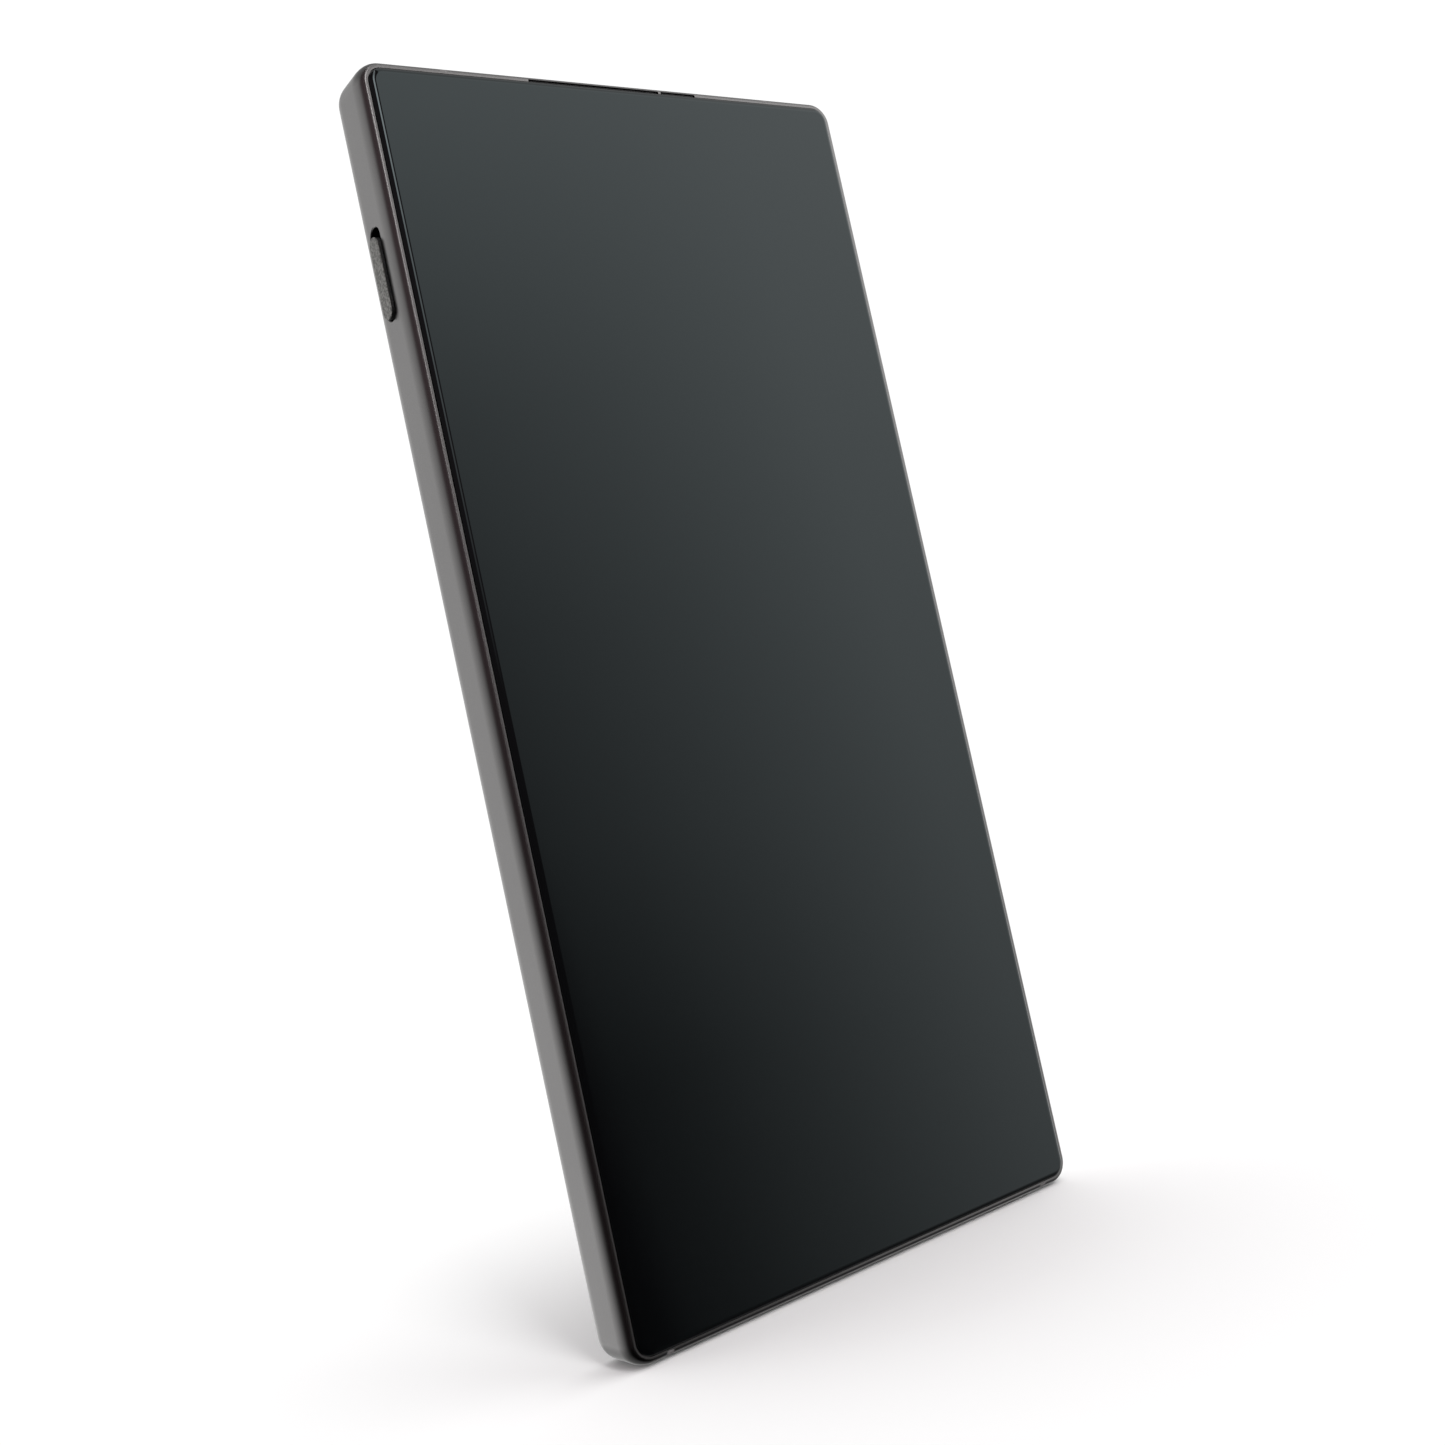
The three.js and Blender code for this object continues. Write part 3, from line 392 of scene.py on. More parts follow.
def add_piece(name, shape, material, body, slot, *nodes):
    """Makes a finished piece, in metres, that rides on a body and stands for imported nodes."""
    if not shape.faces:
        raise RuntimeError(f"{name} came out empty")
    bmesh.ops.scale(shape, vec=(MM, MM, MM), verts=shape.verts)
    for face in shape.faces:
        face.smooth = True
    for edge in shape.edges:
        edge.smooth = edge.calc_face_angle(0) < SMOOTH_ANGLE
    mesh = bpy.data.meshes.new(name)
    shape.to_mesh(mesh)
    shape.free()
    mesh.materials.append(material)
    piece = bpy.data.objects.new(name, mesh)
    bpy.context.scene.collection.objects.link(piece)
    normals = piece.modifiers.new("Even normals", "WEIGHTED_NORMAL")
    normals.keep_sharp = True
    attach(piece, body)
    if nodes:
        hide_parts(*nodes)
    return piece


# ---------------------------------------------------------------- shader building blocks


def add_node(tree, kind, inputs=None, **settings):
    """Adds a node, sets its options, and sets or links its inputs."""
    node = tree.nodes.new(kind)
    for name, value in settings.items():
        setattr(node, name, value)
    for name, value in (inputs or {}).items():
        if isinstance(value, bpy.types.NodeSocket):
            tree.links.new(value, node.inputs[name])
        else:
            node.inputs[name].default_value = value
    return node


def object_coordinates(tree, centre=(0, 0, 0), turn=(0, 0, 0), stretch=(1, 1, 1)):
    """Object coordinates, moved so that a point of the piece is the pattern's centre."""
    places = add_node(tree, "ShaderNodeTexCoord").outputs["Object"]
    moved = add_node(
        tree, "ShaderNodeVectorMath", {0: places, 1: Vector(centre)}, operation="SUBTRACT",
    ).outputs["Vector"]
    return add_node(
        tree, "ShaderNodeMapping", {"Vector": moved, "Rotation": turn, "Scale": stretch},
    ).outputs["Vector"]


def map_range(tree, value, low, high, out_low, out_high):
    """Stretches a pattern from one range to another and stops it at the ends."""
    return add_node(
        tree, "ShaderNodeMapRange",
        {
            "Value": value, "From Min": low, "From Max": high,
            "To Min": out_low, "To Max": out_high,
        },
    ).outputs["Result"]


def maths(tree, operation, *values):
    """A sum on patterns and plain numbers."""
    return add_node(
        tree, "ShaderNodeMath", dict(enumerate(values)), operation=operation,
    ).outputs["Value"]


def noise(tree, places, scale, detail=2.0, distortion=0.0):
    """A cloudy pattern from 0 to 1."""
    return add_node(
        tree, "ShaderNodeTexNoise",
        {"Vector": places, "Scale": scale, "Detail": detail, "Distortion": distortion},
    ).outputs["Fac"]


def wave(tree, places, scale, kind="BANDS", axis="X", **inputs):
    """Even lines or rings that rise from 0 to 1."""
    inputs = {name.capitalize(): value for name, value in inputs.items()}
    settings = {"wave_type": kind, f"{kind.lower()}_direction": axis}
    return add_node(
        tree, "ShaderNodeTexWave", {"Vector": places, "Scale": scale, **inputs}, **settings,
    ).outputs["Fac"]


def bumped(tree, pattern, strength, distance):
    """A normal for a surface on which the pattern stands proud."""
    return add_node(
        tree, "ShaderNodeBump", {"Height": pattern, "Strength": strength, "Distance": distance},
    ).outputs["Normal"]


def mix_colour(tree, share, first, second, blend="MIX"):
    """Blends two colours, each plain or a pattern, by a share that may be a pattern."""
    node = add_node(tree, "ShaderNodeMix", data_type="RGBA", blend_type=blend)
    for socket, value in zip(("Factor_Float", "A_Color", "B_Color"), (share, first, second)):
        target = next(entry for entry in node.inputs if entry.identifier == socket)
        if isinstance(value, bpy.types.NodeSocket):
            tree.links.new(value, target)
        else:
            target.default_value = value
    return next(entry for entry in node.outputs if entry.identifier == "Result_Color")


def opaque(rgb):
    """A solid colour for a colour socket."""
    return (*rgb, 1.0)


def lighter(rgb, by):
    """A colour made lighter or darker by a factor."""
    return tuple(min(1.0, part * by) for part in rgb)


def shades(tree, share, rgb, low, high):
    """A colour that a pattern takes from one brightness to another."""
    return mix_colour(tree, share, opaque(lighter(rgb, low)), opaque(lighter(rgb, high)))


def new_group(inputs, outputs):
    """A shader node group with float inputs, given with their defaults, and typed outputs."""
    tree = bpy.data.node_groups.new("effect", "ShaderNodeTree")
    for socket, default in inputs.items():
        made = tree.interface.new_socket(socket, in_out="INPUT", socket_type="NodeSocketFloat")
        made.default_value = default
    for socket, kind in outputs.items():
        tree.interface.new_socket(socket, in_out="OUTPUT", socket_type=kind)
    return tree, tree.nodes.new("NodeGroupInput").outputs, tree.nodes.new("NodeGroupOutput").inputs


def shared(make):
    """Builds a node group the first time it is asked for, and finds it again after that."""
    def found():
        if make.__name__ not in bpy.data.node_groups:
            tree = make()
            tree.name = make.__name__
        return bpy.data.node_groups[make.__name__]
    return found


@shared
def fine_grain():
    """A mask that varies over the surface, and the normal of that grain."""
    tree, given, result = new_group(
        {"Grains per metre": 6000.0, "Height": 0.00001, "Strength": 0.3},
        {"Mask": "NodeSocketFloat", "Normal": "NodeSocketVector"},
    )
    places = add_node(tree, "ShaderNodeTexCoord").outputs["Object"]
    mask = noise(tree, places, given["Grains per metre"], detail=3.0)
    tree.links.new(mask, result["Mask"])
    tree.links.new(bumped(tree, mask, given["Strength"], given["Height"]), result["Normal"])
    return tree


@shared
def edge_wear():
    """A mask that is 1 where handling has polished an outer edge."""
    tree, given, result = new_group(
        {"Radius": 0.0004, "Breakup": 900.0}, {"Mask": "NodeSocketFloat"},
    )
    rounded = add_node(
        tree, "ShaderNodeBevel", {"Radius": given["Radius"]}, samples=4,
    ).outputs["Normal"]
    flat = add_node(tree, "ShaderNodeNewGeometry").outputs["Normal"]
    turn = add_node(
        tree, "ShaderNodeVectorMath", {0: rounded, 1: flat}, operation="DOT_PRODUCT",
    ).outputs["Value"]
    edge = map_range(tree, turn, 0.995, 0.86, 0.0, 1.0)
    places = add_node(tree, "ShaderNodeTexCoord").outputs["Object"]
    cloud = noise(tree, places, given["Breakup"], detail=4.0)
    patches = map_range(tree, cloud, 0.35, 0.7, 0.0, 1.0)
    tree.links.new(maths(tree, "MULTIPLY", edge, patches), result["Mask"])
    return tree


@shared
def dust():
    """A mask of a few small specks scattered far apart."""
    tree, given, result = new_group(
        {"Cells per metre": 60.0, "Speck": 0.012}, {"Mask": "NodeSocketFloat"},
    )
    places = add_node(tree, "ShaderNodeTexCoord").outputs["Object"]
    wobble = add_node(
        tree, "ShaderNodeTexNoise", {"Vector": places, "Scale": 2600.0, "Detail": 2.0},
    ).outputs["Color"]
    spread = (0.0002, 0.0002, 0.0002)
    bent = add_node(
        tree, "ShaderNodeVectorMath", {0: wobble, 1: spread, 2: places}, operation="MULTIPLY_ADD",
    ).outputs["Vector"]
    cells = add_node(
        tree, "ShaderNodeTexVoronoi", {"Vector": bent, "Scale": given["Cells per metre"]},
        feature="F1",
    ).outputs
    near = maths(tree, "LESS_THAN", cells["Distance"], given["Speck"])
    chosen = maths(tree, "GREATER_THAN", cells["Color"], 0.6)
    tree.links.new(maths(tree, "MULTIPLY", near, chosen), result["Mask"])
    return tree


def place_group(tree, group, **values):
    """Places a shared group in a material with its own values, and returns its outputs."""
    node = add_node(tree, "ShaderNodeGroup", node_tree=group())
    for name, value in values.items():
        node.inputs[name.replace("_", " ").capitalize()].default_value = value
    return node.outputs


def new_material(**values):
    """A material with its plain shader values set; returns it and its node tree."""
    material = bpy.data.materials.new("finish")
    material.use_nodes = True
    shader = material.node_tree.nodes["Principled BSDF"]
    for socket, value in values.items():
        shader.inputs[socket.replace("_", " ")].default_value = value
    return material, material.node_tree


def dress(material, base, roughness=None, normal=None, **others):
    """Links a material's patterns to its shader and returns the material."""
    tree = material.node_tree
    shader = tree.nodes["Principled BSDF"]
    patterns = {"Base_Color": base, "Roughness": roughness, "Normal": normal, **others}
    for socket, value in patterns.items():
        if value is not None:
            tree.links.new(value, shader.inputs[socket.replace("_", " ")])
    return material


def once(make):
    """Builds a material the first time it is asked for, and finds it again after that."""
    def found(*details):
        key = "_".join((make.__name__, *details, "finish"))
        if key not in bpy.data.materials:
            material = make(*details)
            material.name = key
        return bpy.data.materials[key]
    return found


# ---------------------------------------------------------------- materials


@once
def anodised_metal():
    """Satin dark anodised aluminium with a fine blasted grain and slightly polished edges."""
    look = finishes()
    material, tree = new_material(Metallic=1.0)
    grain = place_group(tree, fine_grain, grains_per_metre=9000.0, height=0.000004, strength=0.35)
    wear = place_group(tree, edge_wear, radius=0.00035, breakup=700.0)["Mask"]
    cloud = noise(tree, object_coordinates(tree), 55.0, detail=3.0)
    base = shades(tree, cloud, look.metal, 0.93, 1.07)
    worn = map_range(tree, wear, 0.0, 1.0, 0.0, 0.35)
    base = mix_colour(tree, worn, base, opaque(lighter(look.metal, 1.9)))
    rough = look.metal_roughness
    roughness = map_range(tree, grain["Mask"], 0.3, 0.7, rough - 0.03, rough + 0.04)
    return dress(material, base, roughness, grain["Normal"])


@once
def screen_glass():
    """Black glossy front glass with smudges and a few specks of dust."""
    look = finishes()
    material, tree = new_material(IOR=1.5, Specular_Tint=opaque(look.screen_tint))
    specks = place_group(tree, dust, cells_per_metre=62.0, speck=0.011)["Mask"]
    smudge = noise(tree, object_coordinates(tree), 30.0, detail=5.0, distortion=0.8)
    base = shades(tree, smudge, look.screen, 1.0, 1.4)
    base = mix_colour(tree, specks, base, (0.32, 0.33, 0.34, 1.0))
    rough = look.screen_roughness
    roughness = map_range(tree, smudge, 0.35, 0.75, rough, rough + 0.03)
    return dress(material, base, roughness)


@once
def back_glass():
    """Frosted near-black glass with a faint silky sparkle."""
    look = finishes()
    material, tree = new_material(IOR=1.52)
    grain = place_group(tree, fine_grain, grains_per_metre=14000.0, height=0.000003, strength=0.4)
    places = object_coordinates(tree)
    cloud = noise(tree, places, 18.0, detail=4.0)
    sparkle = add_node(
        tree, "ShaderNodeTexVoronoi", {"Vector": places, "Scale": 7000.0},
    ).outputs["Color"]
    base = shades(tree, cloud, look.back_glass, 1.0, 1.2)
    glints = map_range(tree, sparkle, 0.75, 1.0, 0.0, 0.35)
    base = mix_colour(tree, glints, base, opaque(lighter(look.back_glass, 2.4)))
    roughness = map_range(tree, cloud, 0.3, 0.7, 0.3, 0.36)
    return dress(material, base, roughness, grain["Normal"])


@once
def turned_metal(camera):
    """Ring metal with fine turning marks about the camera's own axis."""
    look = finishes()
    low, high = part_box(f"lens_ring_{camera}")
    material, tree = new_material(Metallic=1.0)
    places = object_coordinates(tree, centre=(low + high) / 2, turn=(math.pi / 2, 0, 0))
    marks = wave(tree, places, 2400.0, "RINGS", "Z", distortion=0.4, detail=2.0)
    wear = place_group(tree, edge_wear, radius=0.0003, breakup=900.0)["Mask"]
    base = shades(tree, marks, look.ring, 0.9, 1.1)
    base = mix_colour(tree, wear, base, opaque(lighter(look.ring, 1.6)))
    roughness = map_range(tree, marks, 0.0, 1.0, 0.2, 0.3)
    normal = bumped(tree, marks, strength=0.25, distance=0.000006)
    return dress(material, base, roughness, normal)


@once
def machined_alloy():
    """Pale milled magnesium alloy with cutter lines."""
    material, tree = new_material(Metallic=1.0)
    lines = wave(tree, object_coordinates(tree, turn=(0, 0.4, 0)), 900.0, distortion=1.2)
    base = mix_colour(tree, lines, (0.42, 0.43, 0.44, 1.0), (0.56, 0.57, 0.58, 1.0))
    roughness = map_range(tree, lines, 0.0, 1.0, 0.34, 0.46)
    normal = bumped(tree, lines, strength=0.2, distance=0.00001)
    return dress(material, base, roughness, normal)


@once
def stainless():
    """Drawn stainless steel with long soft scratches."""
    material, tree = new_material(Metallic=1.0)
    places = object_coordinates(tree, stretch=(1.0, 1.0, 0.04))
    scratches = noise(tree, places, 5200.0, detail=4.0)
    wear = place_group(tree, edge_wear, radius=0.0002, breakup=1200.0)["Mask"]
    base = mix_colour(tree, scratches, (0.46, 0.45, 0.44, 1.0), (0.62, 0.61, 0.6, 1.0))
    base = mix_colour(tree, wear, base, (0.74, 0.73, 0.72, 1.0))
    roughness = map_range(tree, scratches, 0.3, 0.7, 0.2, 0.36)
    normal = bumped(tree, scratches, strength=0.15, distance=0.000005)
    return dress(material, base, roughness, normal)


@once
def copper_sheet():
    """Rolled copper with a mottled tarnish."""
    material, tree = new_material(Metallic=1.0)
    mottle = noise(tree, object_coordinates(tree), 160.0, detail=5.0)
    base = mix_colour(tree, mottle, (0.55, 0.24, 0.12, 1.0), (0.72, 0.37, 0.22, 1.0))
    return dress(material, base, map_range(tree, mottle, 0.3, 0.7, 0.28, 0.5))


@once
def gold_contact():
    """Hard gold plating of the socket's contacts, rubbed lengthwise."""
    material, tree = new_material(Metallic=1.0)
    rub = noise(tree, object_coordinates(tree, stretch=(1.0, 1.0, 0.1)), 4000.0, detail=3.0)
    base = mix_colour(tree, rub, (0.78, 0.5, 0.18, 1.0), (0.9, 0.64, 0.28, 1.0))
    return dress(material, base, map_range(tree, rub, 0.3, 0.7, 0.2, 0.34))


@once
def lens_glass():
    """Clear window over a camera; its low index stands for the coating against reflections."""
    material, tree = new_material(
        IOR=1.16, Transmission_Weight=1.0, Metallic=0.0, Roughness=0.0,
    )
    specks = place_group(tree, dust, cells_per_metre=300.0, speck=0.012)["Mask"]
    return dress(material, mix_colour(tree, specks, (0.97, 0.985, 1.0, 1.0), (0.7, 0.7, 0.7, 1.0)))


@once
def coated_element():
    """Front element of a lens: dark, with a coating that reflects violet and green."""
    material, tree = new_material(IOR=1.5)
    tint = add_node(tree, "ShaderNodeLayerWeight", {"Blend": 0.35}).outputs["Facing"]
    base = mix_colour(tree, tint, (0.012, 0.006, 0.03, 1.0), (0.004, 0.02, 0.016, 1.0))
    coating = mix_colour(tree, tint, (0.42, 0.26, 0.95, 1.0), (0.2, 0.7, 0.5, 1.0))
    haze = noise(tree, object_coordinates(tree), 400.0)
    roughness = map_range(tree, haze, 0.3, 0.7, 0.02, 0.06)
    return dress(material, base, roughness, Specular_Tint=coating)


@once
def flash_plastic():
    """Clear slightly milky plastic over the flash."""
    material, tree = new_material(
        IOR=1.49, Transmission_Weight=0.9, Metallic=0.0, Roughness=0.08,
    )
    milk = noise(tree, object_coordinates(tree), 900.0)
    base = mix_colour(tree, milk, (0.92, 0.9, 0.82, 1.0), (0.98, 0.97, 0.92, 1.0))
    return dress(material, base)


def grained(material, grain, dark, light, rough=None):
    """Runs a finish from a dark to a light colour with its grain, and its roughness too."""
    tree = material.node_tree
    base = mix_colour(tree, grain["Mask"], opaque(dark), opaque(light))
    roughness = rough and map_range(tree, grain["Mask"], 0.3, 0.7, *rough)
    return dress(material, base, roughness, grain["Normal"])


@once
def flash_phosphor():
    """Yellow phosphor of the flash's light source."""
    material, tree = new_material(Roughness=0.6)
    grain = place_group(tree, fine_grain, grains_per_metre=16000.0, height=0.00001, strength=0.5)
    return grained(material, grain, (0.72, 0.52, 0.08), (0.9, 0.7, 0.16))


@once
def black_plastic():
    """Moulded black plastic with a fine spark-eroded texture."""
    material, tree = new_material()
    grain = place_group(tree, fine_grain, grains_per_metre=8000.0, height=0.00001, strength=0.4)
    return grained(material, grain, (0.009, 0.009, 0.01), (0.02, 0.02, 0.021), (0.42, 0.6))


@once
def baffle_paint():
    """Matt black paint inside a lens barrel, which swallows stray light."""
    material, tree = new_material(Specular_IOR_Level=0.12)
    grain = place_group(tree, fine_grain, grains_per_metre=12000.0, height=0.000006, strength=0.3)
    return grained(material, grain, (0.003, 0.003, 0.0035), (0.008, 0.008, 0.009), (0.55, 0.75))


@once
def antenna_plastic():
    """Moulded plastic blasted with the frame and coloured to match it."""
    metal = finishes().metal
    material, tree = new_material()
    grain = place_group(tree, fine_grain, grains_per_metre=9000.0, height=0.000006, strength=0.4)
    return grained(material, grain, lighter(metal, 0.85), metal, (0.42, 0.52))


@once
def adhesive_foam():
    """Black closed-cell adhesive foam."""
    material, tree = new_material(Roughness=0.85)
    grain = place_group(tree, fine_grain, grains_per_metre=3500.0, height=0.00005, strength=0.6)
    return grained(material, grain, (0.006, 0.006, 0.006), (0.014, 0.014, 0.014))


@once
def gritty_cap():
    """Slide switch cap whose outer face has a coarse grey grit that gives grip; below that face its
    sides are painted near black as painted shade of the slot.
    """
    look = finishes()
    material, tree = new_material()
    grain = place_group(tree, fine_grain, grains_per_metre=3200.0, height=0.00014, strength=1.0)
    specks = map_range(tree, grain["Mask"], 0.42, 0.6, 0.0, 1.0)
    grit = shades(tree, specks, look.switch, 0.5, 1.6)
    places = object_coordinates(tree)
    across = add_node(tree, "ShaderNodeSeparateXYZ", {"Vector": places}).outputs["X"]
    # Painted shade: from the foot of the gritty top inwards, the cap's sides turn near black,
    # standing in for the shade down in the slot.
    foot = CAD_BOUNDS[0][0] + sizes().cap_top
    top = map_range(tree, across, foot, foot - 0.25 * sizes().cap_top, 0.0, 1.0)
    base = mix_colour(tree, top, (0.004, 0.004, 0.004, 1.0), grit)
    roughness = map_range(tree, specks, 0.0, 1.0, 0.5, 0.7)
    return dress(material, base, roughness, grain["Normal"])


@once
def circuit_board():
    """Green solder resist with fine raised tracks and bright pads."""
    material, tree = new_material(IOR=1.5)
    places = object_coordinates(tree)
    tracks = add_node(
        tree, "ShaderNodeTexBrick", {"Vector": places, "Scale": 300.0, "Mortar Size": 0.05},
    ).outputs["Fac"]
    pads = add_node(
        tree, "ShaderNodeTexVoronoi", {"Vector": places, "Scale": 620.0, "Randomness": 0.4},
        distance="CHEBYCHEV",
    ).outputs["Distance"]
    pad_mask = map_range(tree, pads, 0.17, 0.15, 0.0, 1.0)
    base = mix_colour(tree, tracks, (0.005, 0.032, 0.014, 1.0), (0.012, 0.07, 0.03, 1.0))
    base = mix_colour(tree, pad_mask, base, (0.62, 0.5, 0.28, 1.0))
    roughness = map_range(tree, pad_mask, 0.0, 1.0, 0.42, 0.28)
    normal = bumped(tree, tracks, strength=0.4, distance=0.00003)
    return dress(material, base, roughness, normal, Metallic=pad_mask)


@once
def flex_film():
    """Amber film with copper tracks running along it."""
    material, tree = new_material(IOR=1.6)
    tracks = wave(tree, object_coordinates(tree), 420.0)
    copper = map_range(tree, tracks, 0.45, 0.55, 0.0, 1.0)
    base = mix_colour(tree, copper, (0.16, 0.06, 0.012, 1.0), (0.42, 0.2, 0.07, 1.0))
    return dress(material, base, map_range(tree, copper, 0.0, 1.0, 0.45, 0.3))


@once
def pouch_foil():
    """Dark laminated foil with soft crinkles."""
    material, tree = new_material(Metallic=0.35)
    crinkle = noise(tree, object_coordinates(tree), 120.0, detail=6.0, distortion=1.5)
    base = mix_colour(tree, crinkle, (0.018, 0.018, 0.021, 1.0), (0.04, 0.04, 0.045, 1.0))
    roughness = map_range(tree, crinkle, 0.3, 0.7, 0.32, 0.5)
    normal = bumped(tree, crinkle, strength=0.5, distance=0.0002)
    return dress(material, base, roughness, normal)


@once
def woven_mesh():
    """Black woven wire mesh over a sound opening."""
    material, tree = new_material(Metallic=0.6)
    places = object_coordinates(tree, turn=(0, math.pi / 4, 0))
    weave = maths(tree, "MAXIMUM", *(wave(tree, places, 2400.0, axis=axis) for axis in "XZ"))
    base = mix_colour(tree, weave, (0.002, 0.002, 0.002, 1.0), (0.05, 0.05, 0.052, 1.0))
    roughness = map_range(tree, weave, 0.0, 1.0, 0.7, 0.4)
    normal = bumped(tree, weave, strength=0.8, distance=0.00003)
    return dress(material, base, roughness, normal)


SLOT_FINISH = {
    "anodised_frame": anodised_metal,
    "machined_alloy": machined_alloy,
    "stainless": stainless,
    "copper": copper_sheet,
    "screen_glass": screen_glass,
    "back_glass": back_glass,
    "lens_glass": lens_glass,
    "flash_lens": flash_plastic,
    "black_plastic": black_plastic,
    "antenna_plastic": antenna_plastic,
    "switch_cap": gritty_cap,
    "circuit_board": circuit_board,
    "flex_film": flex_film,
    "pouch_foil": pouch_foil,
    "adhesive": adhesive_foam,
    "woven_mesh": woven_mesh,
}


# ---------------------------------------------------------------- frame


def frame_blank():
    """The frame's outer form before it is hollowed, with softly rounded long edges."""
    size = sizes()
    across = mm(size.edge_across)
    shape = slab(
        WIDTH, HEIGHT, mm(size.corner_radius), 0, MID_Z, FRAME_FRONT, FRAME_BACK,
        size.render_steps,
    )
    round_rim(shape, FRAME_FRONT, across, mm(size.front_deep), 12)
    round_rim(shape, FRAME_BACK, across, mm(size.back_deep), 10)
    return closed(shape)


def recess(inset, front, back):
    """The opening inside the frame, a given distance in from its outside."""
    radius = mm(sizes().corner_radius) - inset
    return slab(
        WIDTH - 2 * inset, HEIGHT - 2 * inset, radius, 0, MID_Z, front, back,
        sizes().render_steps,
    )


def recesses():
    """The opening through the band, and a ledge sunk into each face for its cover."""
    size = sizes()
    lip, ledge = mm(size.lip_width), mm(size.ledge_depth)
    return [
        recess(mm(size.wall), FRONT_Y - REACH, BACK_Y + REACH),
        recess(lip, FRONT_Y - REACH, FRONT_Y + ledge),
        recess(lip, BACK_Y - ledge, BACK_Y + REACH),
    ]


def key_slot(node, turn, side, travel=0.0):
    """The slot that a side key moves in, a little larger than the key all round."""
    size = sizes()
    low, high = node_box(node)
    gap = mm(size.key_gap)
    width = mm(size.key_width) + 2 * gap
    middle = (low + high) / 2
    mouth = (side * HALF_WIDTH, middle.y, middle.z + travel / 2)
    span = key_length(node) + travel + 2 * gap
    deep, bevel = mm(size.wall) + REACH, mm(size.mouth_bevel)
    return flared_tool(turn, mouth, width, span, width / 2, deep, bevel)


FLANGE_PAST_KEY = 0.4
ROCKER_LENGTH = 22.0
SWITCH_TRAVEL = 1.2
TRAY_FACE = (15.1, 1.9)
SOCKET_GAP = 0.05
SPEAKER_HOLES = 6
SPEAKER_PITCH = 3.0
SPEAKER_FIRST_X = 13.5
BOTTOM_MICROPHONE_X = -8.5
TOP_MICROPHONE_X = 18.0
SLIT_DEEP = 1.35
SLIT_ROUND = 0.12
SLIT_TALL = 2.0
SLIT_BEVEL = 0.03
MESH_GAP = 0.05
INSERT_GAP = 0.015


def key_length(node):
    """The length of a key's proud bar, which is shorter than the flange behind it."""
    low, high = node_box(node)
    return ROCKER_LENGTH if node == "volume_rocker" else high.z - low.z - 2 * FLANGE_PAST_KEY


def end_hole(x, radius, turn, z, deep):
    """A round hole with a bevelled mouth in the top or bottom of the frame."""
    y = edge_line()
    bevel = mm(sizes().mouth_bevel) / 2
    return flared_tool(turn, (x, y, z), 2 * radius, 2 * radius, radius, deep, bevel, steps=6)


def edge_line():
    """The depth at which keys, slots and sockets line up along the edges."""
    low, high = node_box("usb_shell")
    return (low.y + high.y) / 2


def frame_band_tools():
    """Everything that is cut out of the frame's four sides."""
    size = sizes()
    y = edge_line()
    deep = mm(size.wall) + REACH
    bevel = mm(size.mouth_bevel)
    gap = mm(size.key_gap)
    tools = [
        key_slot("slide_switch_cap", LEFT, -1, SWITCH_TRAVEL),
        key_slot("power_key", RIGHT, 1),
        key_slot("volume_rocker", RIGHT, 1),
    ]
    tray_low, tray_high = node_box("sim_tray")
    tray_x = (tray_low.x + tray_high.x) / 2
    face_width, face_tall = (part + 2 * gap for part in TRAY_FACE)
    tools.append(flared_tool(
        BOTTOM, (tray_x, y, 0), face_width, face_tall, face_tall / 2, deep, bevel / 2,
    ))
    usb_low, usb_high = node_box("usb_shell")
    usb_width, usb_tall = (part + 2 * SOCKET_GAP for part in (usb_high - usb_low).xy)
    tools.append(flared_tool(
        BOTTOM, (0, y, 0), usb_width, usb_tall, usb_tall / 2, deep, 1.5 * bevel, steps=10,
    ))
    for hole in range(SPEAKER_HOLES):
        x = SPEAKER_FIRST_X + hole * SPEAKER_PITCH
        tools.append(end_hole(x, mm(size.speaker_hole), BOTTOM, 0, deep))
    microphone = mm(size.microphone_hole)
    tools.append(end_hole(BOTTOM_MICROPHONE_X, microphone, BOTTOM, 0, deep))
    tools.append(end_hole(TOP_MICROPHONE_X, microphone, TOP, HEIGHT, deep))
    slit_top = HEIGHT - mm(size.slit_lip)
    for node in ("earpiece_mesh", "sensor_light_guide"):
        low, high = node_box(node)
        width = high.x - low.x + 2 * MESH_GAP
        centre = ((low.x + high.x) / 2, FRAME_FRONT, slit_top - SLIT_TALL / 2)
        tools.append(flared_tool(
            FRONT, centre, width, SLIT_TALL, SLIT_ROUND, SLIT_DEEP, SLIT_BEVEL, steps=4,
        ))
    return tools


INSERTS = ("top_left", "top_right", "bottom_left", "bottom_right")


def insert_block(place, grow):
    """The block in which an antenna insert lies, made larger all round by a gap."""
    low, high = node_box(f"antenna_insert_{place}")
    low, high = low - Vector((grow, REACH, grow)), high + Vector((grow, REACH, grow))
    if place.startswith("top"):
        high.z = HEIGHT + REACH
    else:
        low.z = -REACH
    return block(low, high)


class PHONE_OT_frame_band(bpy.types.Operator):
    """Builds the metal band with its slots, sockets and holes"""

    bl_idname = "phone.frame_band"
    bl_label = "Frame band"

    def execute(self, context):
        grooves = [insert_block(place, INSERT_GAP) for place in INSERTS]
        band = cut(frame_blank(), *recesses(), *frame_band_tools(), *grooves)
        add_piece(
            "frame_band", band, anodised_metal(), "phone_body", "anodised_frame", "side_frame",
        )
        return {"FINISHED"}


